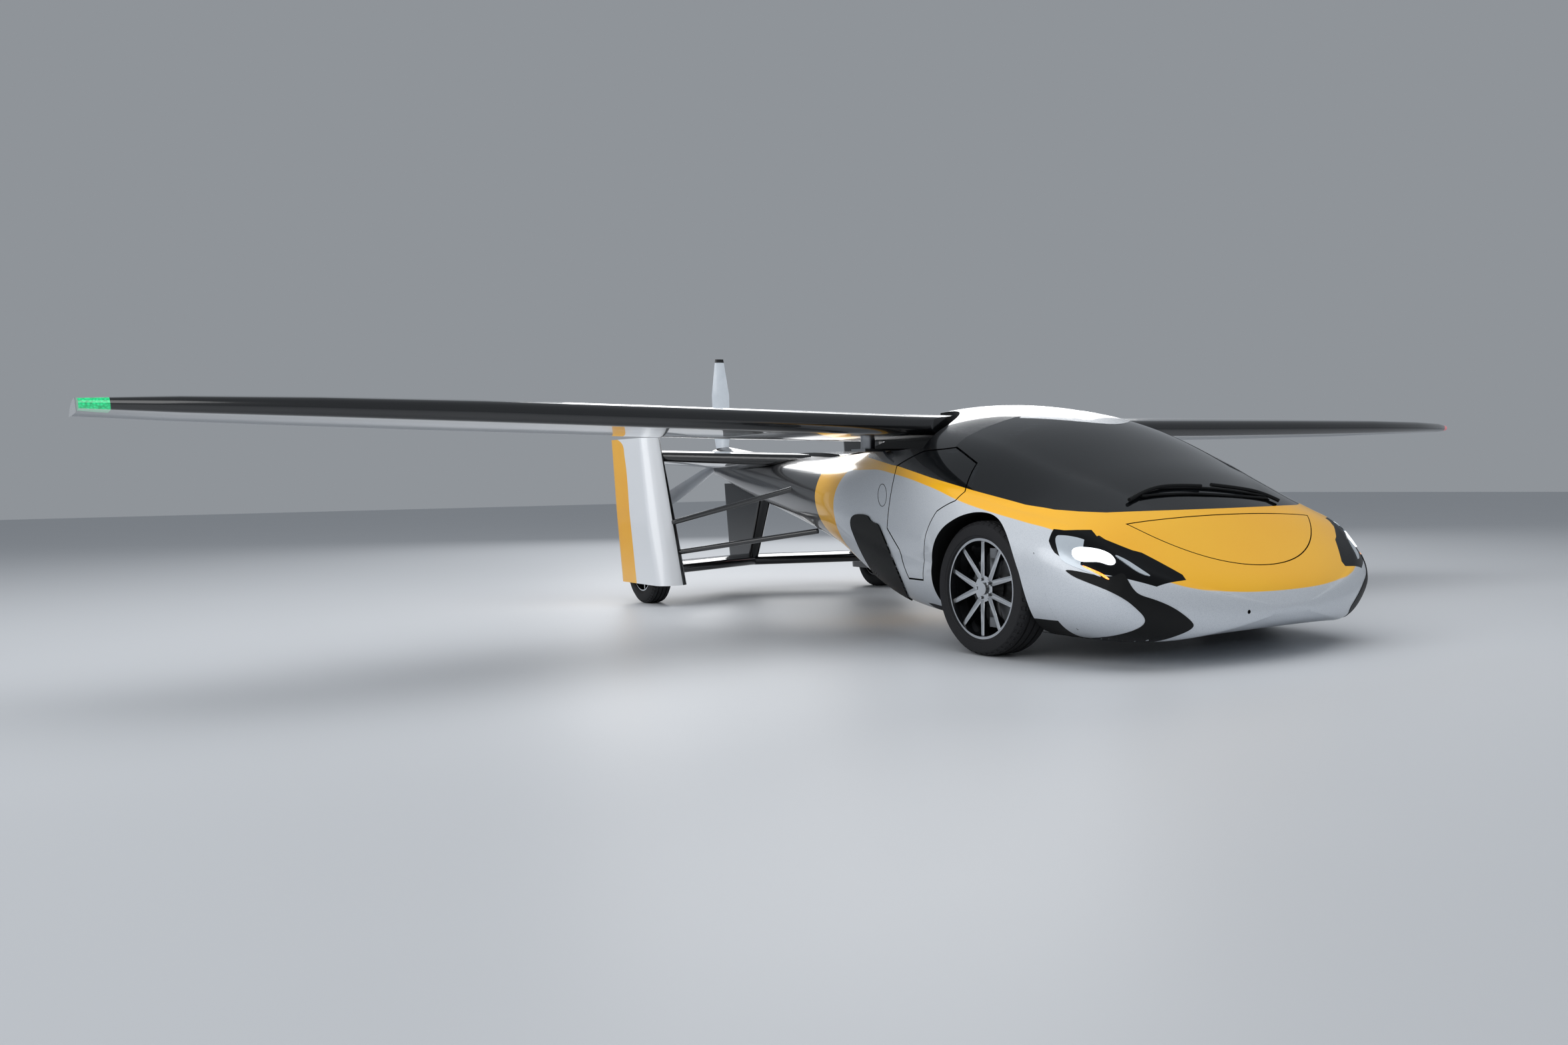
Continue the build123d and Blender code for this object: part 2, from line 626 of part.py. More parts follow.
# Steered knuckle of the right front wheel, with the arms that carry it
STEER_Y = FRONT_TRACK / 2 - 20
KNUCKLE_INNER_Y = 790
KNUCKLE_OUTER_Y = 832
KNUCKLE_HALF_LENGTH = 28
LUG_LOW = 138
LUG_HIGH = 165
ARM_THICKNESS = 18
axle_z = FRONT_TYRE_RADIUS
with BuildPart() as knuckle_right:
    x_low = FRONT_AXLE_X - KNUCKLE_HALF_LENGTH
    x_high = FRONT_AXLE_X + KNUCKLE_HALF_LENGTH
    lug_y = STEER_Y + KNUCKLE_HALF_LENGTH
    add(block(x_low, x_high, -KNUCKLE_OUTER_Y, -KNUCKLE_INNER_Y, axle_z - LUG_HIGH, axle_z + LUG_HIGH).part)
    for low, high in ((-LUG_HIGH, -LUG_LOW), (LUG_LOW, LUG_HIGH)):
        add(block(x_low, x_high, -lug_y, -KNUCKLE_INNER_Y, axle_z + low, axle_z + high).part)
    with Locations(Plane(origin=(FRONT_AXLE_X, -KNUCKLE_OUTER_Y, axle_z), z_dir=(0, -1, 0))):
        Cylinder(SPINDLE_RADIUS, FRONT_TRACK / 2 + 55 - KNUCKLE_OUTER_Y,
                 align=(Align.CENTER, Align.CENTER, Align.MIN))
knuckle_left = mirrored(knuckle_right)

with BuildPart() as arm_pair:
    for low in (-LUG_HIGH - SEAT_GAP - ARM_THICKNESS, LUG_HIGH + SEAT_GAP):
        add(block(x_low, x_high, -lug_y, -ARCH_INNER_Y, axle_z + low, axle_z + low + ARM_THICKNESS).part)
suspension_arms = both(arm_pair)

with BuildPart() as rear_axle:
    with Locations(Plane(origin=(REAR_AXLE_X, -FIN_Y, REAR_TYRE_RADIUS), z_dir=(0, -1, 0))):
        Cylinder(REAR_SPINDLE_RADIUS, REAR_TYRE_WIDTH + WELL_CLEARANCE)
rear_axles = both(rear_axle)

# Cabin: seats, dashboard with steering wheel, bulkhead and the engine behind it
SEAT_Y = 330
SEAT_WIDTH = 480
SEAT = [(-60, 100), (-60, 380), (-480, 330), (-640, 900), (-740, 900), (-600, 100)]
SEAT_FILLET = 28
BULKHEAD_STATION = -930
BULKHEAD_WALL = 20
DASH = [(420, 470), (420, 600), (180, 650), (150, 590), (230, 470)]
DASH_HALF_WIDTH = ARCH_INNER_Y - LINER_WALL
ENGINE_LENGTH = 520
ENGINE_WIDTH = 480
ENGINE_LOW_Z = 400
ENGINE_HIGH_Z = 800
WHEEL_RING_RADIUS = 170
WHEEL_RING_TUBE = 14
WHEEL_RING_STATION = 40
WHEEL_RING_Z = 690
COLUMN_TILT = 25

with BuildPart() as seat:
    with BuildSketch(span_plane(SEAT_Y + SEAT_WIDTH / 2)):
        with BuildLine():
            Polyline(*[(at(station), z) for station, z in SEAT], close=True)
        make_face()
    extrude(amount=SEAT_WIDTH)
    fillet(seat.edges().filter_by(Axis.Y).group_by(Axis.Z)[-1], SEAT_FILLET)
    add(body_inner.part, mode=Mode.INTERSECT)
seats = both(seat)

with BuildPart() as dashboard:
    with BuildSketch(span_plane(DASH_HALF_WIDTH)):
        with BuildLine():
            Polyline(*[(at(station), z) for station, z in DASH], close=True)
        make_face()
    extrude(amount=2 * DASH_HALF_WIDTH)
    add(body_inner.part, mode=Mode.INTERSECT)

with BuildPart() as steering_wheel:
    ring = Plane(origin=(at(WHEEL_RING_STATION), SEAT_Y, WHEEL_RING_Z)).rotated((0, COLUMN_TILT - 90, 0))
    with Locations(ring):
        Torus(WHEEL_RING_RADIUS, WHEEL_RING_TUBE)
        Box(40, 2 * WHEEL_RING_RADIUS, 16)
        Cylinder(22, 300, align=(Align.CENTER, Align.CENTER, Align.MAX))
    add(dashboard.part, mode=Mode.SUBTRACT)

bulkhead = cut_from(body_inner, block(at(BULKHEAD_STATION) - BULKHEAD_WALL, at(BULKHEAD_STATION), -FAR, FAR, 0,
                                      WING_DECK_Z - DECK_WALL))
engine_front = at(BULKHEAD_STATION) - BULKHEAD_WALL
with BuildPart() as engine:
    add(block(engine_front - ENGINE_LENGTH, engine_front, -ENGINE_WIDTH / 2, ENGINE_WIDTH / 2,
              ENGINE_LOW_Z, ENGINE_HIGH_Z).part)
    fillet(engine.edges().filter_by(Axis.X), SEAT_FILLET)

pieces = dict(nose_panel=nose_panel, fender_right=fender_right, fender_left=fender_left, hood=hood,
              door_right=door_right, door_left=door_left, rear_cowl=rear_cowl, tail_body=tail_body_bored,
              head_lamps=head_lamps, floor_pan=floor_pan, wheel_housings=wheel_housings,
              windscreen=windscreen, roof=roof, shoulder_panels=shoulder_panels,
              door_glass_right=door_glass_right, door_glass_left=door_glass_left, wing_deck=wing_deck,
              door_frames=door_frames, hood_frame=hood_frame, wing_right=wing_right, wing_left=wing_left,
              nav_light_right=nav_light_right, nav_light_left=nav_light_left, wing_pins=wing_pins,
              fin_right=fin_right, fin_left=fin_left, tail_lamps=tail_lamps, stabilizer=stabilizer,
              lower_beam=lower_beam, pylon=pylon, struts=struts, propeller=propeller, **wheels,
              knuckle_right=knuckle_right, knuckle_left=knuckle_left, suspension_arms=suspension_arms,
              rear_axles=rear_axles, seats=seats, dashboard=dashboard, steering_wheel=steering_wheel,
              bulkhead=bulkhead, engine=engine)
for label, piece in pieces.items():
    piece.part.label = label
    export_step(piece.part, f"parts/{label}.step")
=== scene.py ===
# %% [markdown]
# # A flying car, dressed in Blender
# The vehicle is a two-seat road car with wings that swing back, a boxy open tail and a pusher propeller.
# Its solids come in as a fixed frame, in metres, and this lesson gives them their paint, glass, rubber and
# trim.

# %% Load the frame
import math

import bmesh
import bpy
from mathutils import Matrix, Vector
from mathutils.bvhtree import BVHTree
from mathutils.interpolate import poly_3d_calc


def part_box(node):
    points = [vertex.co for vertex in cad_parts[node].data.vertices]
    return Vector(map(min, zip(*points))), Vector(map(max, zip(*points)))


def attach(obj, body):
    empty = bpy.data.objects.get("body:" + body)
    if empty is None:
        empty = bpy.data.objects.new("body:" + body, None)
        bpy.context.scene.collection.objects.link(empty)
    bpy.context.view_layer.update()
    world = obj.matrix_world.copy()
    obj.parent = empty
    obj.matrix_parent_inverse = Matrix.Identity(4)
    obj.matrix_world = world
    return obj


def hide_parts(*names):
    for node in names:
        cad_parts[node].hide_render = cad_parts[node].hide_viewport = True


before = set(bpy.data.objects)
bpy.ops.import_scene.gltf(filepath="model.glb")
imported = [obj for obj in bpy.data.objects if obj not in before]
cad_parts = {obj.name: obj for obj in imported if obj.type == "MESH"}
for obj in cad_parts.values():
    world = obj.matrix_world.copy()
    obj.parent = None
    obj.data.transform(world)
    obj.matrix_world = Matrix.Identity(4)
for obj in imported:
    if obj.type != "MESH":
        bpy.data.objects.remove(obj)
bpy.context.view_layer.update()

# %% [markdown]
# ## The photograph's camera
# The viewpoint was solved from points on the vehicle, as a place, three angles, a focal length and the
# pixel where the lens axis meets the picture. The same numbers aim the render camera, and they let a pixel
# be turned into a ray, so that a painted edge can be laid on the body exactly where it is seen.

# %% Camera
FRONT_AXLE_X = 1.67
PHOTO_WIDTH = 2353
PHOTO_HEIGHT = 1568
FOCAL_PX = 1866.8
AXIS_PX = (1315.2, 1068.7)
CAMERA_AT = Vector((FRONT_AXLE_X + 4.414, -4.684, 0.82))
CAMERA_YAW = math.radians(144.76)
CAMERA_PITCH = math.radians(-10.64)
CAMERA_ROLL = math.radians(-0.9)
SENSOR_MM = 36

forward = Vector((math.cos(CAMERA_YAW) * math.cos(CAMERA_PITCH),
                  math.sin(CAMERA_YAW) * math.cos(CAMERA_PITCH), math.sin(CAMERA_PITCH)))
level = forward.cross(Vector((0, 0, 1))).normalized()
above = level.cross(forward)
rightward = level * math.cos(CAMERA_ROLL) + above * math.sin(CAMERA_ROLL)
upward = above * math.cos(CAMERA_ROLL) - level * math.sin(CAMERA_ROLL)

camera_data = bpy.data.cameras.new("photo_camera")
camera_data.sensor_width = SENSOR_MM
camera_data.lens = FOCAL_PX * SENSOR_MM / PHOTO_WIDTH
camera_data.shift_x = (PHOTO_WIDTH / 2 - AXIS_PX[0]) / PHOTO_WIDTH
camera_data.shift_y = (AXIS_PX[1] - PHOTO_HEIGHT / 2) / PHOTO_WIDTH
camera = bpy.data.objects.new("photo_camera", camera_data)
bpy.context.scene.collection.objects.link(camera)
turn = Matrix((rightward, upward, -forward)).transposed().to_4x4()
camera.matrix_world = Matrix.Translation(CAMERA_AT) @ turn
bpy.context.scene.camera = camera


def pixel_ray(pixel):
    """Direction from the camera through a pixel of the photograph."""
    across = (pixel[0] - AXIS_PX[0]) / FOCAL_PX
    down = (pixel[1] - AXIS_PX[1]) / FOCAL_PX
    return (forward + rightward * across - upward * down).normalized()


print("lens", round(camera_data.lens, 2), "mm")

# %% [markdown]
# ## A smooth body to lay things on
# The solids run straight from one cross-section to the next, while the real skin was drawn with long fair
# curves. A guide body is built here from the same sections, joined by smooth curves, with far more rings
# than the solids have. It is never shown: panels are pulled onto it, and their shading and every trim piece
# follow it.

# %% Guide body
MM = 0.001
# station from the front axle, then z and half width of the low, waist, belt and rail points, then the top
# z, in mm
SECTIONS = [
    (-4130, 850, 70, 960, 125, 1045, 80, 1066, 42, 1073),
    (-3600, 730, 110, 870, 215, 972, 155, 1000, 85, 1012),
    (-3100, 640, 160, 810, 330, 940, 240, 972, 130, 985),
    (-2500, 545, 240, 740, 490, 920, 360, 953, 190, 965),
    (-2100, 480, 300, 690, 600, 905, 450, 975, 250, 1010),
    (-1700, 400, 380, 625, 700, 895, 560, 1030, 340, 1110),
    (-1300, 255, 500, 540, 765, 885, 700, 1080, 500, 1188),
    (-900, 185, 680, 455, 845, 862, 815, 1075, 630, 1205),
    (-500, 148, 745, 420, 935, 800, 865, 1040, 660, 1165),
    (-165, 128, 735, 420, 1036, 742, 878, 965, 650, 1085),
    (195, 115, 700, 420, 1040, 672, 890, 830, 590, 912),
    (350, 110, 670, 408, 1030, 645, 890, 770, 510, 825),
    (500, 108, 640, 395, 1015, 608, 870, 690, 440, 722),
    (600, 109, 600, 360, 985, 562, 835, 622, 440, 640),
    (700, 112, 560, 325, 935, 492, 780, 538, 430, 550),
    (870, 130, 450, 265, 740, 368, 610, 396, 330, 405),
    (955, 165, 300, 232, 450, 303, 345, 325, 190, 332),
    (990, 205, 120, 228, 190, 250, 130, 256, 70, 258),
]
ROUND_OUT = 0.72
ROUND_UP = 0.29
SIDE_CROWN = 0.12
ARC_STEPS = 20
RING_SPACING = 35
NOSE_RINGS = [958, 965, 972, 979, 985]
NOSE_CAP = [(993, 0.8), (996, 0.5), (997.5, 0.2)]
NOSE_FAIR_X = (FRONT_AXLE_X + 0.66, FRONT_AXLE_X + 0.84)
NOSE_FAIR_PASSES = 10
stations = [row[0] for row in SECTIONS]


def fair_value(station, column):
    """One section size at a station, on a smooth curve through the table."""
    values = [row[column] for row in SECTIONS]
    last = len(stations) - 1
    i = min(max(k for k in range(last) if stations[k] <= station), last - 1)

    def chord(k):
        return (values[k + 1] - values[k]) / (stations[k + 1] - stations[k])

    def slope(k):
        if k in (0, last):
            return chord(min(k, last - 1))
        before = stations[k] - stations[k - 1]
        after = stations[k + 1] - stations[k]
        return (chord(k - 1) * after + chord(k) * before) / (before + after)

    span = stations[i + 1] - stations[i]
    t = (station - stations[i]) / span
    rise = values[i + 1] - values[i]
    start = slope(i) * span
    end = slope(i + 1) * span
    return values[i] + t * (start + t * (3 * rise - 2 * start - end + t * (start + end - 2 * rise)))


def arc_points(start, middle, end):
    """Points along the circle through three points, without the first."""
    (ax, ay), (bx, by), (cx, cy) = start, middle, end
    twice = 2 * (ax * (by - cy) + bx * (cy - ay) + cx * (ay - by))
    a, b, c = ax * ax + ay * ay, bx * bx + by * by, cx * cx + cy * cy
    ux = (a * (by - cy) + b * (cy - ay) + c * (ay - by)) / twice
    uy = (a * (cx - bx) + b * (ax - cx) + c * (bx - ax)) / twice
    radius = math.hypot(ax - ux, ay - uy)
    first = math.atan2(ay - uy, ax - ux)
    sweep = (math.atan2(cy - uy, cx - ux) - first) % math.tau
    if (math.atan2(by - uy, bx - ux) - first) % math.tau > sweep:
        sweep -= math.tau
    angles = [first + sweep * (k + 1) / ARC_STEPS for k in range(ARC_STEPS)]
    return [(ux + radius * math.cos(angle), uy + radius * math.sin(angle)) for angle in angles]


def half_section(station):
    """Outline of one side of the body at a station, from the belly to the top, in mm."""
    z_low, w_low, z_waist, w_waist, z_belt, w_belt, z_rail, w_rail, z_top = (
        fair_value(station, column) for column in range(1, 10))
    low, waist, belt, rail = (w_low, z_low), (w_waist, z_waist), (w_belt, z_belt), (w_rail, z_rail)
    belly = (low[0] + (waist[0] - low[0]) * ROUND_OUT, low[1] + (waist[1] - low[1]) * ROUND_UP)
    flank = (belt[0] + (waist[0] - belt[0]) * ROUND_OUT, belt[1] + (waist[1] - belt[1]) * ROUND_UP)
    rise = rail[1] - belt[1]
    crown = ((belt[0] + rail[0]) / 2 + rise * SIDE_CROWN, (belt[1] + rail[1]) / 2 + rise * SIDE_CROWN)
    points = [(low[0] * k / 3, low[1]) for k in range(3)] + [low]
    points += arc_points(low, belly, waist) + arc_points(waist, flank, belt) + arc_points(belt, crown, rail)
    over_top = arc_points(rail, (0, z_top), (-rail[0], rail[1]))
    return points + over_top[:ARC_STEPS // 2]


def add_ring(bm, station, scale=1.0):
    """One closed ring of the guide body, drawn in about its own middle height for the nose cap."""
    side = half_section(min(station, stations[-1]))
    outline = side + [(-y, z) for y, z in reversed(side[1:-1])]
    middle = (side[0][1] + side[-1][1]) / 2
    x = FRONT_AXLE_X + station * MM
    verts = [bm.verts.new((x, y * scale * MM, (middle + (z - middle) * scale) * MM)) for y, z in outline]
    return [bm.edges.new((verts[k], verts[(k + 1) % len(verts)])) for k in range(len(verts))]


def ringed_body(ring_stations, cap):
    """A closed nose-to-tail skin through rings at the given stations."""
    bm = bmesh.new()
    rings = [add_ring(bm, station) for station in ring_stations]
    rings += [add_ring(bm, station, scale) for station, scale in cap]
    for near, far in zip(rings, rings[1:]):
        bmesh.ops.bridge_loops(bm, edges=near + far)
    bmesh.ops.contextual_create(bm, geom=rings[-1])
    bmesh.ops.recalc_face_normals(bm, faces=bm.faces)
    return bm


ring_count = round((stations[-2] - stations[0]) / RING_SPACING)
fine_stations = [stations[0] + (stations[-2] - stations[0]) * k / ring_count for k in range(ring_count + 1)]
guide = ringed_body(fine_stations + NOSE_RINGS + stations[-1:], NOSE_CAP)
for k in range(NOSE_FAIR_PASSES):
    start = NOSE_FAIR_X[0] + (NOSE_FAIR_X[1] - NOSE_FAIR_X[0]) * k / NOSE_FAIR_PASSES
    nose_verts = [vert for vert in guide.verts if vert.co.x > start]
    bmesh.ops.smooth_vert(guide, verts=nose_verts, factor=0.5, use_axis_x=True, use_axis_y=True,
                          use_axis_z=True)
guide.normal_update()
guide.faces.ensure_lookup_table()
guide_tree = BVHTree.FromBMesh(guide)
straight = ringed_body(stations, [])
straight.normal_update()
straight_tree = BVHTree.FromBMesh(straight)


def guide_normal(point):
    """Nearest place on the guide body and its smooth outward direction there."""
    place, _, index, distance = guide_tree.find_nearest(point)
    face = guide.faces[index]
    weights = poly_3d_calc([v.co for v in face.verts], place)
    normal = sum((v.normal * w for v, w in zip(face.verts, weights)), Vector())
    return place, normal.normalized(), distance


print("guide body", len(guide.faces), "faces, outward", guide_normal(Vector((3, 0, 0.2)))[1].x > 0)

# %% [markdown]
# ## One colour function and one node function
# Colours are picked as sRGB hex, the way a paint chart gives them, and Blender's shaders want linear light.
# Every material is then built with a single function that adds a node, sets it up and links it.

# %% Colour and node helpers
def linear(text):
    """Linear colour from an sRGB hex value."""
    parts = [int(text[k:k + 2], 16) / 255 for k in (1, 3, 5)]
    return [c / 12.92 if c <= 0.04045 else ((c + 0.055) / 1.055) ** 2.4 for c in parts] + [1.0]


def add_node(tree, kind, settings=None, **inputs):
    """Adds a node, sets its options, and sets or links its inputs, named by socket with _ for spaces."""
    node = tree.nodes.new(kind)
    for key, value in (settings or {}).items():
        setattr(node, key, value)
    for key, value in inputs.items():
        by_index = key[0] == "i" and key[1:].isdigit()
        socket = node.inputs[int(key[1:]) if by_index else key.replace("_", " ")]
        if isinstance(value, bpy.types.NodeSocket):
            tree.links.new(value, socket)
        else:
            socket.default_value = value
    return node


def new_material(name, **inputs):
    """A material with its shader set up and the object's own coordinates at hand."""
    material = bpy.data.materials.new(name)
    material.use_nodes = True
    tree = material.node_tree
    tree.nodes.clear()
    shader = add_node(tree, "ShaderNodeBsdfPrincipled", **inputs)
    add_node(tree, "ShaderNodeOutputMaterial", Surface=shader.outputs[0])
    coordinates = add_node(tree, "ShaderNodeTexCoord")
    return material, tree, shader, coordinates.outputs["Object"]


def per_metre(size_mm):
    """Texture scale that gives a pattern about this size in millimetres."""
    return 1000 / size_mm


print("helpers ready")

# %% [markdown]
# ## Plain finishes
# Most small pieces wear one finish each: gloss black composite, grained black moulding, rubber, leather,
# steel. Each starts from the typical roughness of that stuff and gets a fine pattern that breaks up its
# highlight. Patterns too fine for the picture, such as rubber and leather grain, are drawn a little coarser
# so that they show.

# %% Plain finishes
def grained(name, colour, roughness, grain_mm, bump_mm, spread=0.1, **inputs):
    """A finish of one colour with a noise that varies its roughness and lifts its surface a little."""
    material, tree, shader, place = new_material(name, Base_Color=linear(colour), **inputs)
    noise = add_node(tree, "ShaderNodeTexNoise", Vector=place, Scale=per_metre(grain_mm), Detail=4.0)
    rough = add_node(tree, "ShaderNodeMapRange", Value=noise.outputs[0], i3=roughness - spread / 2,
                     i4=roughness + spread / 2)
    bump = add_node(tree, "ShaderNodeBump", Strength=0.5, Distance=bump_mm * MM, Height=noise.outputs[0])
    tree.links.new(rough.outputs[0], shader.inputs["Roughness"])
    tree.links.new(bump.outputs[0], shader.inputs["Normal"])
    return material


# Clear-coated carbon composite: deep black under a smooth lacquer with a faint orange peel
gloss_black = grained("lacquered_black_composite", "#0B0C0E", 0.22, 6, 0.02, Coat_Weight=1.0,
                      Coat_Roughness=0.04)
# Moulded black plastic: soft highlight and a leathery mould grain
satin_black = grained("grained_black_moulding", "#0E0F10", 0.55, 4, 0.1, Specular_IOR_Level=0.25)
# Road rubber: dull, greyish black, slightly uneven
tyre_rubber = grained("road_rubber", "#17171A", 0.72, 5, 0.15)
# Turned steel: clear grey metal with fine tool marks
turned_steel = grained("turned_steel", "#A9ABAE", 0.32, 3, 0.03, Metallic=1.0)
# Wheel face cut on a lathe after painting, so that it is bright and crisp
machined_rim = grained("machined_aluminium", "#D5D8DC", 0.2, 3, 0.02, Metallic=1.0)
# Wheel pockets in gloss black enamel
black_enamel = grained("black_wheel_enamel", "#0E0F11", 0.25, 8, 0.02, Coat_Weight=0.6, Coat_Roughness=0.08)
# Upholstery hide: pebbled grain, soft sheen
black_leather = grained("black_leather", "#1B1B1E", 0.48, 6, 0.4, Sheen_Weight=0.15)
# Soft trim on the dash, a touch lighter than the hide
soft_trim = grained("soft_touch_trim", "#242629", 0.62, 4, 0.15)
# Sand-cast engine block
cast_metal = grained("cast_aluminium", "#8D9094", 0.55, 7, 0.3, Metallic=1.0)
# Wing and roof enamel, white with a satin lacquer
white_enamel = grained("white_enamel", "#DCDFE3", 0.28, 40, 0.02, 0.06, Coat_Weight=0.8, Coat_Roughness=0.05)
# Pale grey light guide and lamp frame
lamp_frame = grained("satin_lamp_frame", "#C9D2DA", 0.3, 6, 0.02, Metallic=0.4, Coat_Weight=0.6)


def lit(name, colour, glow, strength, **inputs):
    """A lens that glows a little, mottled so that it does not read as flat paint."""
    material, tree, shader, place = new_material(name, Roughness=0.12, Emission_Strength=strength,
                                                 Coat_Weight=1.0, **inputs)
    cells = add_node(tree, "ShaderNodeTexVoronoi", Vector=place, Scale=per_metre(9))
    mix = add_node(tree, "ShaderNodeMix", {"data_type": "RGBA"}, i0=cells.outputs[0], i6=linear(glow),
                   i7=linear(colour))
    tree.links.new(mix.outputs[2], shader.inputs["Base Color"])
    tree.links.new(mix.outputs[2], shader.inputs["Emission Color"])
    return material


white_led = lit("white_led_cells", "#DDEBF5", "#FFFFFF", 3.0)
orange_led = lit("amber_indicator", "#FF7A18", "#FFB04A", 1.6)
red_lens = lit("red_lens", "#B00A18", "#FF2A38", 0.7)
green_lens = lit("green_lens", "#0A8A50", "#1FD88A", 0.6)

# Solar glass: dark grey through its thickness, with a hard mirror skin
tinted_glass, glass_tree, glass_shader, glass_place = new_material(
    "dark_tinted_glass", Base_Color=linear("#30353A"), Roughness=0.03, IOR=1.5, Transmission_Weight=0.9,
    Coat_Weight=0.5)
glass_noise = add_node(glass_tree, "ShaderNodeTexNoise", Vector=glass_place, Scale=per_metre(400), Detail=1.0)
glass_wave = add_node(glass_tree, "ShaderNodeBump", Strength=0.1, Distance=0.2 * MM,
                      Height=glass_noise.outputs[0])
glass_tree.links.new(glass_wave.outputs[0], glass_shader.inputs["Normal"])
# Lamp cover: clear polycarbonate over a black bezel
lamp_cover = grained("black_lamp_bezel", "#08090B", 0.3, 20, 0.01, 0.04, Specular_IOR_Level=0.2)
print(len(bpy.data.materials), "materials")

# %% [markdown]
# ## The two-tone coat
# The body is metallic silver below and warm yellow above, and the yellow sweeps down behind the side panel
# before the tail turns black. One material paints every panel, so the colour edges run on across the shut
# lines. Each edge is a curve in side view: a Float Curve node gives its height or place, and a narrow ramp
# makes it crisp.

# %% Body coat
VIEW_BACK = -4.3
VIEW_FRONT = 1.1
VIEW_TOP = 1.3
EDGE_SOFT = 1.5 * MM
FLAKE_MM = 3
# Yellow above this line: station and z
STRIPE = [(-2.4, 0.80), (-1.6, 0.858), (-1.5, 0.868), (-1.16, 0.868), (-0.83, 0.838), (-0.5, 0.778),
          (-0.22, 0.716), (0.1, 0.655), (0.3, 0.62), (0.459, 0.59), (0.56, 0.55), (0.72, 0.464),
          (0.853, 0.376), (0.9, 0.343), (0.955, 0.312), (1.0, 0.295)]
# Yellow behind this line and black behind the next: z and station
SIDE_PANEL_EDGE = [(0.2, -1.15), (0.268, -1.26), (0.38, -1.44), (0.505, -1.55), (0.68, -1.575), (0.8, -1.56),
                   (0.88, -1.53)]
TAIL_EDGE = [(0.15, -1.4), (0.255, -1.51), (0.512, -1.80), (0.7, -1.87), (0.845, -1.91), (0.93, -2.0),
             (1.0, -2.2), (1.2, -2.5)]


def set_curve(node, points):
    """Shapes a Float Curve node through points from 0 to 1."""
    curve = node.mapping.curves[0]
    while len(curve.points) < len(points):
        curve.points.new(0.5, 0.5)
    for point, (x, y) in zip(curve.points, points):
        point.location = (x, y)
        point.handle_type = "AUTO_CLAMPED"
    node.mapping.update()


def along(station):
    return (station - VIEW_BACK) / (VIEW_FRONT - VIEW_BACK)


def side_view(tree, place):
    """Station and height of the shaded point, both as shares of the side view's frame."""
    axes = add_node(tree, "ShaderNodeSeparateXYZ", i0=place)
    station = add_node(tree, "ShaderNodeMapRange", Value=axes.outputs[0], i1=VIEW_BACK + FRONT_AXLE_X,
                       i2=VIEW_FRONT + FRONT_AXLE_X)
    height = add_node(tree, "ShaderNodeMath", {"operation": "DIVIDE"}, i0=axes.outputs[2], i1=VIEW_TOP)
    return axes, station.outputs[0], height.outputs[0]


def edge_mask(tree, measured, against, points, scale):
    """1 where the measured share is above the curve drawn over the other share, with a crisp edge."""
    curve = add_node(tree, "ShaderNodeFloatCurve", Value=against)
    set_curve(curve, points)
    gap = add_node(tree, "ShaderNodeMath", {"operation": "SUBTRACT"}, i0=measured, i1=curve.outputs[0])
    soft = EDGE_SOFT / scale
    return add_node(tree, "ShaderNodeMapRange", Value=gap.outputs[0], i1=-soft, i2=soft).outputs[0]


body_coat, tree, shader, place = new_material("two_tone_lacquer", Coat_Weight=0.6, Coat_Roughness=0.05)
axes, station, height = side_view(tree, place)
length = VIEW_FRONT - VIEW_BACK
over = edge_mask(tree, height, station, [(along(s), z / VIEW_TOP) for s, z in STRIPE], VIEW_TOP)
side_edge = [(z / VIEW_TOP, along(s)) for z, s in SIDE_PANEL_EDGE]
ahead_of_sweep = edge_mask(tree, station, height, side_edge, length)
ahead_of_tail = edge_mask(tree, station, height, [(z / VIEW_TOP, along(s)) for z, s in TAIL_EDGE], length)
swept = add_node(tree, "ShaderNodeMath", {"operation": "SUBTRACT"}, i0=1.0, i1=ahead_of_sweep)
yellow = add_node(tree, "ShaderNodeMath", {"operation": "MAXIMUM"}, i0=over, i1=swept.outputs[0])
flakes = add_node(tree, "ShaderNodeTexVoronoi", Vector=place, Scale=per_metre(FLAKE_MM))
silver = add_node(tree, "ShaderNodeMix", {"data_type": "RGBA"}, i0=flakes.outputs["Distance"],
                  i6=linear("#E6EAEF"), i7=linear("#CBD1D8"))
cloud = add_node(tree, "ShaderNodeTexNoise", Vector=place, Scale=per_metre(600), Detail=2.0)
gold = add_node(tree, "ShaderNodeMix", {"data_type": "RGBA"}, i0=cloud.outputs[0], i6=linear("#FFC422"),
                i7=linear("#FCB30C"))
two_tone = add_node(tree, "ShaderNodeMix", {"data_type": "RGBA"}, i0=yellow.outputs[0], i6=silver.outputs[2],
                    i7=gold.outputs[2])
coat = add_node(tree, "ShaderNodeMix", {"data_type": "RGBA"}, i0=ahead_of_tail, i6=linear("#0C0D0F"),
                i7=two_tone.outputs[2])
bare = add_node(tree, "ShaderNodeMath", {"operation": "SUBTRACT"}, i0=1.0, i1=yellow.outputs[0])
metal = add_node(tree, "ShaderNodeMath", {"operation": "MULTIPLY"}, i0=bare.outputs[0], i1=ahead_of_tail)
metal_share = add_node(tree, "ShaderNodeMath", {"operation": "MULTIPLY"}, i0=metal.outputs[0], i1=0.35)
rough = add_node(tree, "ShaderNodeMapRange", Value=metal.outputs[0], i3=0.3, i4=0.46)
tree.links.new(coat.outputs[2], shader.inputs["Base Color"])
tree.links.new(metal_share.outputs[0], shader.inputs["Metallic"])
tree.links.new(rough.outputs[0], shader.inputs["Roughness"])
print("two-tone coat", len(tree.nodes), "nodes")

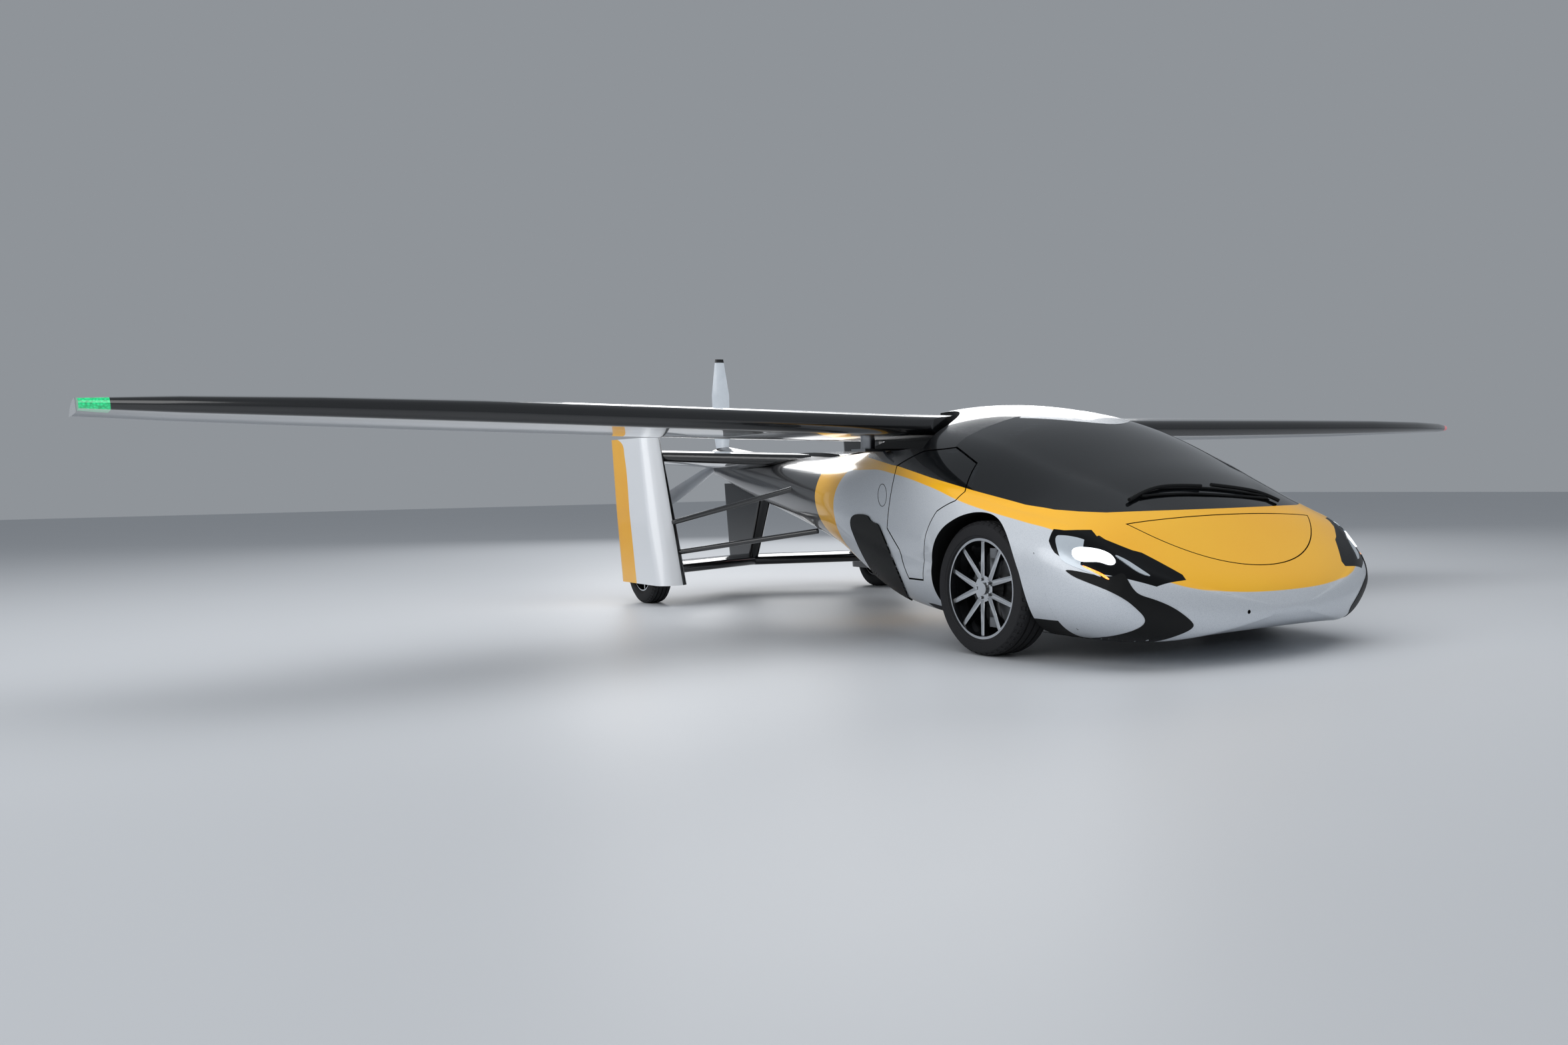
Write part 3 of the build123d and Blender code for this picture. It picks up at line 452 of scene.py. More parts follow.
# %% [markdown]
# ## Body panels
# A panel's solid is copied, its loose triangles are merged, and those that lie on the straight-run body are
# marked as outer skin. Long edges are cut until they are short, and the corners of the marked skin are
# pulled onto the guide. Shading there follows the guide's own smooth direction, so that reflections run
# across hood, fender and door as on one sheet. Walls and inner faces stay as cut and wear a black lining.

# %% Panels on the guide body
SKIN_EDGE = 0.045
SKIN_REACH = 4 * MM
SKIN_FACING = 0.94
MERGE = 0.0002


def place_piece(bm, name, body, materials, replaced=()):
    """Turns a bmesh into a piece that rides on a body and wears the finishes given."""
    mesh = bpy.data.meshes.new(name)
    bm.to_mesh(mesh)
    bm.free()
    for material in materials:
        mesh.materials.append(material)
    piece = bpy.data.objects.new(name, mesh)
    bpy.context.scene.collection.objects.link(piece)
    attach(piece, body)
    if replaced:
        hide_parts(*replaced)
    return piece


def merged_copy(node):
    """The node's own mesh with its loose triangles joined."""
    bm = bmesh.new()
    bm.from_mesh(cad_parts[node].data)
    bmesh.ops.remove_doubles(bm, verts=bm.verts, dist=MERGE)
    for face in bm.faces:
        face.material_index = 0
    return bm


def shorten_edges(bm, longest):
    """Cuts edges in half until none is longer than asked."""
    for _ in range(8):
        long_edges = [edge for edge in bm.edges if edge.calc_length() > longest]
        if not long_edges:
            break
        bmesh.ops.subdivide_edges(bm, edges=long_edges, cuts=1)
        bmesh.ops.triangulate(bm, faces=[face for face in bm.faces if len(face.verts) > 3])


def on_straight_skin(face):
    """Whether a triangle lies on the outer skin as the sections' straight runs make it."""
    corners = [vert.co for vert in face.verts] + [face.calc_center_median()]
    found = [straight_tree.find_nearest(corner) for corner in corners]
    return max(item[3] for item in found) < SKIN_REACH and face.normal.dot(found[-1][1]) > SKIN_FACING


def skin_panel(node, body, material, lining, slot):
    """A body panel laid on the guide body, smoothly shaded outside, with a lining on edges and inside."""
    bm = merged_copy(node)
    bm.normal_update()
    for face in bm.faces:
        face.material_index = int(on_straight_skin(face))
    shorten_edges(bm, SKIN_EDGE)
    bm.faces.index_update()
    bm.verts.index_update()
    skin = {face.index for face in bm.faces if face.material_index}
    outer = {vert.index for face in bm.faces if face.material_index for vert in face.verts}
    normals = {}
    for vert in bm.verts:
        if vert.index in outer:
            place, normals[vert.index], _ = guide_normal(vert.co)
            vert.co = place
    for face in bm.faces:
        face.smooth = True
        face.material_index = 1 - face.material_index
    panel = place_piece(bm, f"{node}_skin", body, [material, lining], [node])
    mesh = panel.data
    split = []
    for polygon in mesh.polygons:
        for vertex in polygon.vertices:
            split.append(normals[vertex] if polygon.index in skin else polygon.normal)
    mesh.normals_split_custom_set([tuple(n) for n in split])
    return panel


# node, body, outside, lining, slot
PANELS = [
    ("nose_panel", "body", body_coat, satin_black, "paint_silver"),
    ("fender_right", "body", body_coat, satin_black, "paint_silver"),
    ("fender_left", "body", body_coat, satin_black, "paint_silver"),
    ("hood", "hood", body_coat, satin_black, "paint_yellow"),
    ("door_right", "door_right", body_coat, satin_black, "paint_silver"),
    ("door_left", "door_left", body_coat, satin_black, "paint_silver"),
    ("rear_cowl", "body", body_coat, satin_black, "paint_yellow"),
    ("tail_body", "body", body_coat, satin_black, "gloss_black"),
    ("head_lamps", "body", lamp_cover, lamp_cover, "lamp_glass"),
    ("windscreen", "body", tinted_glass, tinted_glass, "tinted_glass"),
    ("roof", "body", white_enamel, satin_black, "paint_white"),
    ("shoulder_panels", "body", gloss_black, satin_black, "gloss_black"),
    ("door_glass_right", "door_right", tinted_glass, tinted_glass, "tinted_glass"),
    ("door_glass_left", "door_left", tinted_glass, tinted_glass, "tinted_glass"),
    ("floor_pan", "body", satin_black, satin_black, "satin_black"),
]
skins = {row[0]: skin_panel(*row) for row in PANELS}
print({name: len(panel.data.polygons) for name, panel in skins.items()})

# %% [markdown]
# ## Wings, fins and tail
# The wing is white, with grey painted shade on its downward faces, and has a glossy black leading edge that
# follows its bent plan.
# The fin is yellow outside behind a white front band, and black towards the vehicle.
# Their solids already have the right form, so a merged copy with soft shading over shallow edges is enough.

# %% Wing and fin coats
HALF_SPAN = 4.4
EDGE_BAND = 0.17
# Leading edge: distance from the centre and station
LEADING_EDGE = [(0.28, -0.70), (0.8, -0.70), (1.4, -0.682), (2.2, -0.645), (3.0, -0.612), (3.6, -0.665),
                (4.05, -0.775), (4.4, -0.915)]
# Front of the yellow field on the fin: z and station
FIN_FIELD = [(0.14, -3.50), (0.6, -3.58), (1.0, -3.66), (1.08, -3.70), (1.12, -3.80)]
FIN_INNER_Y = 0.925

wing_coat, tree, shader, place = new_material("white_and_black_wing_lacquer_with_painted_underside_shade", Roughness=0.25, Coat_Weight=1.0,
                                              Coat_Roughness=0.04)
axes, station, height = side_view(tree, place)
out = add_node(tree, "ShaderNodeMath", {"operation": "ABSOLUTE"}, i0=axes.outputs[1])
out_share = add_node(tree, "ShaderNodeMath", {"operation": "DIVIDE"}, i0=out.outputs[0], i1=HALF_SPAN)
band_line = [(y / HALF_SPAN, along(s - EDGE_BAND)) for y, s in LEADING_EDGE]
band = edge_mask(tree, station, out_share.outputs[0], band_line, length)
face_up = add_node(tree, "ShaderNodeNewGeometry")
up = add_node(tree, "ShaderNodeSeparateXYZ", i0=face_up.outputs["Normal"])
# 1 on faces not turned downward; faces turned downward get the grey painted shade
clear_of_painted_shade = add_node(tree, "ShaderNodeMapRange", Value=up.outputs[2], i1=-0.25, i2=-0.15)
weave = add_node(tree, "ShaderNodeTexNoise", Vector=place, Scale=per_metre(300), Detail=3.0)
white = add_node(tree, "ShaderNodeMix", {"data_type": "RGBA"}, i0=weave.outputs[0], i6=linear("#EEF1F4"),
                 i7=linear("#DFE3E8"))
# Grey #8E9297 on downward faces is painted shade under the wing; the rest of the wing is white
faces = add_node(tree, "ShaderNodeMix", {"data_type": "RGBA"}, i0=clear_of_painted_shade.outputs[0], i6=linear("#8E9297"),
                 i7=white.outputs[2])
wing_colour = add_node(tree, "ShaderNodeMix", {"data_type": "RGBA"}, i0=band, i6=faces.outputs[2],
                       i7=linear("#0B0C0E"))
tree.links.new(wing_colour.outputs[2], shader.inputs["Base Color"])

fin_coat, tree, shader, place = new_material("yellow_and_white_fin_lacquer", Roughness=0.28, Coat_Weight=1.0,
                                             Coat_Roughness=0.04)
axes, station, height = side_view(tree, place)
front = edge_mask(tree, station, height, [(z / VIEW_TOP, along(s)) for z, s in FIN_FIELD], length)
out = add_node(tree, "ShaderNodeMath", {"operation": "ABSOLUTE"}, i0=axes.outputs[1])
outside = add_node(tree, "ShaderNodeMapRange", Value=out.outputs[0], i1=FIN_INNER_Y - EDGE_SOFT,
                   i2=FIN_INNER_Y + EDGE_SOFT)
cloud = add_node(tree, "ShaderNodeTexNoise", Vector=place, Scale=per_metre(400), Detail=2.0)
gold = add_node(tree, "ShaderNodeMix", {"data_type": "RGBA"}, i0=cloud.outputs[0], i6=linear("#FFC422"),
                i7=linear("#F3A400"))
field = add_node(tree, "ShaderNodeMix", {"data_type": "RGBA"}, i0=front, i6=gold.outputs[2],
                 i7=linear("#E6E9ED"))
fin_colour = add_node(tree, "ShaderNodeMix", {"data_type": "RGBA"}, i0=outside.outputs[0],
                      i6=linear("#0C0D0F"),
                      i7=field.outputs[2])
tree.links.new(fin_colour.outputs[2], shader.inputs["Base Color"])

# Propeller blade: pale lacquer with a dark tip band, measured from the shaft
PROP_CENTRE_Z = 0.963
TIP_BAND_RADIUS = 0.735
blade_coat, tree, shader, place = new_material("pale_blade_lacquer", Roughness=0.3, Coat_Weight=0.7)
shaft = add_node(tree, "ShaderNodeVectorMath", {"operation": "SUBTRACT"}, i0=place, i1=(0, 0, PROP_CENTRE_Z))
flat = add_node(tree, "ShaderNodeVectorMath", {"operation": "MULTIPLY"}, i0=shaft.outputs[0], i1=(0, 1, 1))
radius = add_node(tree, "ShaderNodeVectorMath", {"operation": "LENGTH"}, i0=flat.outputs[0])
tip = add_node(tree, "ShaderNodeMapRange", Value=radius.outputs["Value"], i1=TIP_BAND_RADIUS - EDGE_SOFT,
               i2=TIP_BAND_RADIUS + EDGE_SOFT)
hub = add_node(tree, "ShaderNodeMapRange", Value=radius.outputs["Value"], i1=0.105, i2=0.108, i3=1.0, i4=0.0)
dark = add_node(tree, "ShaderNodeMath", {"operation": "MAXIMUM"}, i0=tip.outputs[0], i1=hub.outputs[0])
grain = add_node(tree, "ShaderNodeTexNoise", Vector=place, Scale=per_metre(60), Detail=3.0)
pale = add_node(tree, "ShaderNodeMix", {"data_type": "RGBA"}, i0=grain.outputs[0], i6=linear("#DCE4EC"),
                i7=linear("#C7D0D9"))
blade_colour = add_node(tree, "ShaderNodeMix", {"data_type": "RGBA"}, i0=dark.outputs[0], i6=pale.outputs[2],
                        i7=linear("#101113"))
tree.links.new(blade_colour.outputs[2], shader.inputs["Base Color"])
print("wing, fin and blade coats")

# %% [markdown]
# ## Soft-shaded copies
# Pieces that aren't part of the skin keep their form. A merged copy lets the shading run round their curves,
# and only edges steeper than a set angle stay crisp.

# %% Soft-shaded copies
CRISP = math.radians(32)


def soften(bm, angle=CRISP):
    """Smooth faces, with edges sharper than the angle kept crisp."""
    for face in bm.faces:
        face.smooth = True
    for edge in bm.edges:
        edge.smooth = not (len(edge.link_faces) == 2 and edge.calc_face_angle(0) > angle)


def soft_copy(node, body, material):
    """A merged, softly shaded copy of a node that stands for it."""
    bm = merged_copy(node)
    bm.normal_update()
    soften(bm)
    return place_piece(bm, f"{node}_dressed", body, [material], [node])


DRESSED = [
    ("wing_right", "wing_right", wing_coat, "paint_white"),
    ("wing_left", "wing_left", wing_coat, "paint_white"),
    ("nav_light_right", "wing_right", green_lens, "lamp_green"),
    ("nav_light_left", "wing_left", red_lens, "lamp_red"),
    ("fin_right", "body", fin_coat, "paint_yellow"), ("fin_left", "body", fin_coat, "paint_yellow"),
    ("tail_lamps", "body", red_lens, "lamp_red"), ("stabilizer", "body", gloss_black, "gloss_black"),
    ("lower_beam", "body", gloss_black, "gloss_black"), ("pylon", "body", gloss_black, "gloss_black"),
    ("struts", "body", gloss_black, "gloss_black"), ("propeller", "propeller", blade_coat, "paint_white"),
    ("wing_pins", "body", turned_steel, "steel"), ("knuckle_right", "steer_right", turned_steel, "steel"),
    ("knuckle_left", "steer_left", turned_steel, "steel"), ("suspension_arms", "body", turned_steel, "steel"),
    ("rear_axles", "body", turned_steel, "steel"), ("dashboard", "body", soft_trim, "cabin_trim"),
    ("steering_wheel", "body", black_leather, "cabin_trim"), ("bulkhead", "body", soft_trim, "cabin_trim"),
    ("engine", "body", cast_metal, "engine_block"), ("wheel_housings", "body", satin_black, "satin_black"),
    ("wing_deck", "body", satin_black, "satin_black"), ("door_frames", "body", satin_black, "satin_black"),
    ("hood_frame", "body", satin_black, "satin_black"),
]
for node, body, material, slot in DRESSED:
    soft_copy(node, body, material)
print(len(DRESSED), "soft copies")

# %% [markdown]
# ## Wheels
# A tyre is a turned shape, so half of its section is drawn and spun round the axle. Three grooves are in
# the section itself, and every second facet of the shoulder is pressed in to make the cross cuts. The rim
# has a turned barrel and ten spokes in pairs: each is a cube, tapered, bevelled and turned into place.

# %% Tyres and rims
TYRE_STEPS = 96
GROOVE_AT = 0.4
GROOVE_HALF = 0.055
GROOVE_DEPTH = 0.09
SPOKE_PAIRS = 5
PAIR_SPREAD = math.radians(13)
BOLT_COUNT = 5


def spin_profile(bm, profile, centre, steps):
    """Turns a closed section of (radius, sideways) points round an axle along Y."""
    verts = [bm.verts.new(centre + Vector((0, side, radius))) for radius, side in profile]
    edges = [bm.edges.new((verts[k], verts[(k + 1) % len(verts)])) for k in range(len(verts))]
    bmesh.ops.spin(bm, geom=verts + edges, cent=centre, axis=(0, 1, 0), angle=math.tau, steps=steps,
                   use_merge=True)
    bmesh.ops.remove_doubles(bm, verts=bm.verts, dist=MERGE / 4)
    bmesh.ops.recalc_face_normals(bm, faces=bm.faces)


def make_tyre(node, rim_node, body):
    """Tyre with rounded shoulders, three tread grooves and cut shoulders."""
    low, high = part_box(node)
    rim_low, rim_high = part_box(rim_node)
    centre = (low + high) / 2
    outer = (high.z - low.z) / 2
    half = (high.y - low.y) / 2
    inner = (rim_high.z - rim_low.z) / 2
    wall = outer - inner
    cut = outer - GROOVE_DEPTH * wall
    side = [(inner, 0.82), (inner + 0.05 * wall, 0.93), (inner + 0.14 * wall, 0.95),
            (inner + 0.18 * wall, 0.99), (inner + 0.5 * wall, 1.0), (outer - 0.26 * wall, 0.95),
            (outer - 0.2 * wall, 0.9), (outer - 0.05 * wall, 0.78), (outer, 0.64)]
    side += [(outer, GROOVE_AT + GROOVE_HALF), (cut, GROOVE_AT + GROOVE_HALF),
             (cut, GROOVE_AT - GROOVE_HALF), (outer, GROOVE_AT - GROOVE_HALF)]
    side += [(outer, GROOVE_HALF), (cut, GROOVE_HALF)]
    profile = [(r, y * half) for r, y in side] + [(r, -y * half) for r, y in reversed(side)]
    bm = bmesh.new()
    spin_profile(bm, profile, centre, TYRE_STEPS)
    shoulder = []
    for face in bm.faces:
        middle = face.calc_center_median() - centre
        reach = math.hypot(middle.x, middle.z)
        step = int((math.atan2(middle.z, middle.x) + math.pi) / math.tau * TYRE_STEPS)
        if outer - 0.19 * wall < reach < outer - 0.01 * wall and step % 2 == 0 and abs(middle.y) > 0.6 * half:
            shoulder.append(face)
    bmesh.ops.inset_individual(bm, faces=shoulder, thickness=0.06 * wall, depth=-0.05 * wall)
    bm.normal_update()
    soften(bm)
    return place_piece(bm, f"{node}_dressed", body, [tyre_rubber], [node])


def add_spoke(bm, centre, reach, outward, angle, pair_turn):
    """One bevelled spoke from the hub to the barrel, widest at the hub."""
    root, tip = 0.2 * reach, 0.94 * reach
    made = bmesh.ops.create_cube(bm, size=1.0)["verts"]
    bmesh.ops.scale(bm, verts=made, vec=(tip - root, 0.16 * reach, 0.13 * reach))
    bmesh.ops.translate(bm, verts=made, vec=((tip + root) / 2, 0, 0))
    for vert in made:
        if vert.co.x > (tip + root) / 2:
            vert.co.z *= 0.78
            vert.co.y += outward * 0.05 * reach
    edges = list({edge for vert in made for edge in vert.link_edges})
    bevelled = bmesh.ops.bevel(bm, geom=edges, offset=0.018 * reach, affect="EDGES", segments=2, profile=0.5,
                               material=-1)
    corners = {vert for face in bevelled["faces"] for vert in face.verts}
    verts = list(corners | {vert for vert in made if vert.is_valid})
    bmesh.ops.translate(bm, verts=verts, vec=(0, outward * 0.2 * reach, pair_turn * 0.06 * reach))
    bmesh.ops.rotate(bm, verts=verts, cent=(0, 0, 0), matrix=Matrix.Rotation(angle, 3, "Y"))
    bmesh.ops.translate(bm, verts=verts, vec=centre)


def add_turned(bm, centre, radius, depth, offset, segments=40):
    """A short turned disc about the axle, at a sideways offset."""
    turned = Matrix.Translation(centre + Vector((0, offset, 0))) @ Matrix.Rotation(math.pi / 2, 4, "X")
    return bmesh.ops.create_cone(bm, cap_ends=True, segments=segments, radius1=radius, radius2=radius,
                                 depth=depth, matrix=turned)["verts"]


def make_rim(node, body):
    """Two-tone rim: turned barrel, five pairs of spokes, hub, cap, bolts and brake disc."""
    low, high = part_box(node)
    centre = (low + high) / 2
    reach = (high.z - low.z) / 2
    half = (high.y - low.y) / 2
    outward = math.copysign(1, centre.y)
    bm = bmesh.new()
    barrel = [(reach, -half), (reach, half), (reach - 0.05 * reach, half), (reach - 0.07 * reach, 0.8 * half),
              (reach - 0.11 * reach, 0.4 * half), (reach - 0.11 * reach, -0.8 * half),
              (reach - 0.05 * reach, -half)]
    spin_profile(bm, [(r, outward * y) for r, y in barrel], centre, TYRE_STEPS)
    for pair in range(SPOKE_PAIRS):
        for turn_way in (-1, 1):
            angle = math.tau * pair / SPOKE_PAIRS + turn_way * PAIR_SPREAD
            add_spoke(bm, centre, reach, outward, angle, -turn_way)
    add_turned(bm, centre, 0.26 * reach, 0.3 * reach, outward * 0.13 * reach)
    add_turned(bm, centre, 0.12 * reach, 0.06 * reach, outward * 0.3 * reach)
    for bolt in range(BOLT_COUNT):
        angle = math.tau * (bolt + 0.5) / BOLT_COUNT
        seat = centre + Vector((math.cos(angle), 0, math.sin(angle))) * 0.19 * reach
        add_turned(bm, seat, 0.032 * reach, 0.05 * reach, outward * 0.29 * reach, 6)
    bm.normal_update()
    disc = add_turned(bm, centre, 0.72 * reach, 0.07 * reach, -outward * 0.1 * reach, 64)
    disc_faces = {face for vert in disc for face in vert.link_faces}
    bm.normal_update()
    for face in bm.faces:
        if face in disc_faces:
            face.material_index = 2
        elif face.normal.y * outward > 0.7:
            face.material_index = 1
    soften(bm)
    finishes = [black_enamel, machined_rim, turned_steel]
    return place_piece(bm, f"{node}_dressed", body, finishes, [node])


for corner in ("front_right", "front_left", "rear_right", "rear_left"):
    make_tyre(f"tyre_{corner}", f"rim_{corner}", f"wheel_{corner}")
    make_rim(f"rim_{corner}", f"wheel_{corner}")
print("wheels dressed")

# %% [markdown]
# ## Shapes laid on the body from the photograph
# The black swoosh, the side intake and the lights inside the head lamp are flat outlines wrapped on the
# skin. Each outline is drawn in the picture's pixels, rounded by cutting its corners, filled and cut into
# short edges. Every corner is then sent along its camera ray onto the guide body. A little thickness makes
# it a real inlay, and a mirror image serves the left side. The white roof cap is laid in the same way, but
# from a plan view above.

# %% Wrapped inlays
INLAY_EDGE_PX = 7
PLAN_EDGE_MM = 40
ROOF_CAP_LIFT = 2 * MM
TRIM_CREASE = math.radians(50)
RAY_REACH = (3.0, 9.0)
RAY_STEPS = 120


def on_body(pixel, lift=0.0):
    """Place on the guide body seen at a pixel, or nearest to its ray, lifted along the skin's direction."""
    ray = pixel_ray(pixel)
    hit, _, _, _ = guide_tree.ray_cast(CAMERA_AT, ray)
    if hit is None:
        near, far = RAY_REACH
        steps = [CAMERA_AT + ray * (near + (far - near) * k / RAY_STEPS) for k in range(RAY_STEPS)]
        hit = min(steps, key=lambda step: guide_tree.find_nearest(step)[3])
    place, normal, _ = guide_normal(hit)
    return place + normal * lift


def from_above(plan):
    """Place on the guide body straight below a point given as station and sideways distance in mm."""
    start = Vector((FRONT_AXLE_X + plan[0] * MM, plan[1] * MM, 2.0))
    return guide_tree.ray_cast(start, Vector((0, 0, -1)))[0]


def cut_corners(outline):
    """A closed outline with each corner replaced by two points on the edges beside it, twice over."""
    for _ in range(2):
        following = outline[1:] + outline[:1]
        outline = [point for (ax, ay), (bx, by) in zip(outline, following)
                   for point in ((0.75 * ax + 0.25 * bx, 0.75 * ay + 0.25 * by),
                                 (0.25 * ax + 0.75 * bx, 0.25 * ay + 0.75 * by))]
    return outline


def wrapped_inlay(name, outline, lay, longest, body, material, lift, mirrored=False):
    """A closed flat outline, sent onto the body by a laying function and raised a little."""
    bm = bmesh.new()
    bm.faces.new([bm.verts.new((x, y, 0)) for x, y in cut_corners(outline)])
    bmesh.ops.triangulate(bm, faces=bm.faces)
    shorten_edges(bm, longest)
    for vert in bm.verts:
        place = lay((vert.co.x, vert.co.y))
        vert.co = Vector((place.x, -place.y, place.z)) if mirrored else place
    sheet = bm.faces[:] + bm.edges[:] + bm.verts[:]
    raised = bmesh.ops.extrude_face_region(bm, geom=sheet, use_keep_orig=True)["geom"]
    for vert in raised:
        if isinstance(vert, bmesh.types.BMVert):
            vert.co += guide_normal(vert.co)[1] * lift
    bmesh.ops.recalc_face_normals(bm, faces=bm.faces)
    bm.normal_update()
    soften(bm, TRIM_CREASE)
    return place_piece(bm, name, body, [material])


SWOOSH = [(1594, 852), (1608, 864), (1629, 873), (1650, 881), (1671, 890), (1692, 902), (1706, 914),
          (1716, 924), (1719, 932), (1715, 939), (1702, 946), (1678, 953), (1650, 957), (1622, 958),
          (1588, 954), (1562, 949), (1566, 954), (1594, 961), (1622, 965), (1650, 966), (1678, 966),
          (1706, 965), (1734, 962), (1755, 957), (1775, 950), (1787, 944), (1792, 938), (1787, 931),
          (1775, 921), (1758, 910), (1734, 900), (1710, 893), (1700, 884), (1692, 870), (1685, 858),
          (1666, 868)]
INTAKE = [(1281, 771), (1303, 772), (1308, 783), (1322, 787), (1324, 817), (1331, 852), (1343, 880),
          (1376, 911), (1341, 890), (1314, 863), (1297, 835), (1284, 807), (1276, 785)]
LIGHT_GUIDE = [(1582, 804), (1598, 804), (1616, 807), (1631, 812), (1613, 811), (1598, 813), (1595, 821),
               (1601, 835), (1623, 849), (1661, 870), (1626, 856), (1594, 843), (1588, 830)]
LED_CLUSTER = [(1610, 821), (1643, 823), (1666, 831), (1676, 845), (1666, 849), (1650, 843), (1638, 843),
               (1620, 843), (1608, 835)]
FRONT_GUIDE = [(1669, 831), (1691, 841), (1712, 855), (1729, 866), (1716, 863), (1704, 857), (1686, 844)]
AMBER = [(1624, 848), (1643, 856), (1656, 862), (1666, 870), (1661, 870), (1651, 863), (1640, 858),
         (1625, 851)]
# name, outline, material, slot, lift in mm
INLAYS = [
    ("nose_swoosh", SWOOSH, satin_black, "satin_black", 3),
    ("side_intake", INTAKE, satin_black, "satin_black", 8),
    ("lamp_light_guide", LIGHT_GUIDE, lamp_frame, "lamp_glass", 4),
    ("lamp_cells", LED_CLUSTER, white_led, "lamp_glass", 5),
    ("lamp_front_guide", FRONT_GUIDE, lamp_frame, "lamp_glass", 4),
    ("lamp_indicator", AMBER, orange_led, "lamp_glass", 5),
]
for name, outline, material, slot, lift in INLAYS:
    for side in ("right", "left"):
        wrapped_inlay(f"{name}_{side}", outline, on_body, INLAY_EDGE_PX, "body", material, lift * MM,
                      side == "left")
# Plan of the roof cap's front, as station and sideways distance in mm
ROOF_CAP = [(-440, -400), (-330, -330), (-210, -220), (-140, -100), (-120, 0), (-140, 100), (-210, 220),
            (-330, 330), (-440, 400)]
wrapped_inlay("roof_cap_front", ROOF_CAP, from_above, PLAN_EDGE_MM, "body", white_enamel,
              ROOF_CAP_LIFT)
print("inlays laid")

# %% [markdown]
# ## Wipers, shut lines and other thin trim
# Thin round trim follows points on the skin. A curve with a small bevel makes it, and it is turned into a
# mesh so that it rides like every other piece.

# %% Thin trim
def trim_line(name, points, radius, body, material, closed=False):
    """A round bar through points, made a mesh."""
    curve = bpy.data.curves.new(name, "CURVE")
    curve.dimensions = "3D"
    curve.bevel_depth = radius
    curve.bevel_resolution = 2
    curve.use_fill_caps = True
    curve.resolution_u = 6
    spline = curve.splines.new("NURBS")
    spline.points.add(len(points) - 1)
    for point, place in zip(spline.points, points):
        point.co = (*place, 1.0)
    spline.order_u = 3
    spline.use_endpoint_u = not closed
    spline.use_cyclic_u = closed
    bar = bpy.data.objects.new(f"{name}_line", curve)
    bpy.context.scene.collection.objects.link(bar)
    mesh = bpy.data.meshes.new_from_object(bar)
    bpy.data.objects.remove(bar)
    bm = bmesh.new()
    bm.from_mesh(mesh)
    bmesh.ops.remove_doubles(bm, verts=bm.verts, dist=MERGE / 4)
    soften(bm, TRIM_CREASE)
    return place_piece(bm, name, body, [material])


WIPERS = [
    ("wiper_arm_right", [(1693, 754), (1716, 739), (1755, 731), (1800, 733)], 9 * MM, 14 * MM),
    ("wiper_blade_right", [(1712, 747), (1760, 742), (1830, 744), (1900, 750)], 6 * MM, 9 * MM),
    ("wiper_arm_left", [(1917, 755), (1895, 744), (1860, 736), (1815, 731)], 9 * MM, 14 * MM),
    ("wiper_blade_left", [(1905, 748), (1850, 738), (1790, 733), (1735, 735)], 6 * MM, 9 * MM),
]
for name, pixels, radius, lift in WIPERS:
    trim_line(name, [on_body(pixel, lift) for pixel in pixels], radius, "body", satin_black)

# Shut line ahead of the front wheel arch, on both sides
SEAM_RADIUS = 1.6 * MM
ARCH_SEAM = [(1551, 829), (1562, 858), (1577, 895), (1595, 925), (1618, 945)]
right_seam = [on_body(pixel) for pixel in ARCH_SEAM]
left_seam = [Vector((p.x, -p.y, p.z)) for p in right_seam]
for side, points in (("right", right_seam), ("left", left_seam)):
    trim_line(f"arch_seam_{side}", points, SEAM_RADIUS, "body", satin_black)

# Fuel filler cap, flush in the right side: only its round shut line shows
CAP_AT = (1324, 743)
CAP_RADII_PX = (6.5, 17)
CAP_POINTS = 16
turns = [math.tau * k / CAP_POINTS for k in range(CAP_POINTS)]
ring_pixels = [(CAP_AT[0] + CAP_RADII_PX[0] * math.cos(t), CAP_AT[1] + CAP_RADII_PX[1] * math.sin(t))
               for t in turns]
ring = [on_body(pixel) for pixel in ring_pixels]
trim_line("fuel_cap_seam", ring, SEAM_RADIUS, "body", satin_black, True)
print("trim laid")

# %% [markdown]
# ## Seats
# Two bucket seats sit behind the dark glass. Each is three bevelled cushions with rounded edges, where the
# plain solid had only a profile.

# %% Seats
SEAT_Y = 0.33
CUSHION_ROUND = 0.045
CUSHION_CREASE = math.radians(60)
# name, middle station and z, length along x, width, height, tilt back in degrees
CUSHIONS = [
    ("base", -0.28, 0.31, 0.46, 0.46, 0.15, 5),
    ("back", -0.585, 0.60, 0.13, 0.44, 0.52, -15),
    ("rest", -0.675, 0.865, 0.09, 0.25, 0.13, -15),
]
bm = bmesh.new()
for side in (-1, 1):
    for name, seat_station, z, long, wide, tall, tilt in CUSHIONS:
        verts = bmesh.ops.create_cube(bm, size=1.0)["verts"]
        bmesh.ops.scale(bm, verts=verts, vec=(long, wide, tall))
        edges = list({edge for vert in verts for edge in vert.link_edges})
        made = bmesh.ops.bevel(bm, geom=edges, offset=CUSHION_ROUND, affect="EDGES", segments=3, profile=0.5,
                               material=-1)
        verts = list({vert for face in made["faces"] for vert in face.verts})
        bmesh.ops.rotate(bm, verts=verts, cent=(0, 0, 0), matrix=Matrix.Rotation(math.radians(tilt), 3, "Y"))
        bmesh.ops.translate(bm, verts=verts, vec=(FRONT_AXLE_X + seat_station, side * SEAT_Y, z))
bmesh.ops.recalc_face_normals(bm, faces=bm.faces)
soften(bm, CUSHION_CREASE)
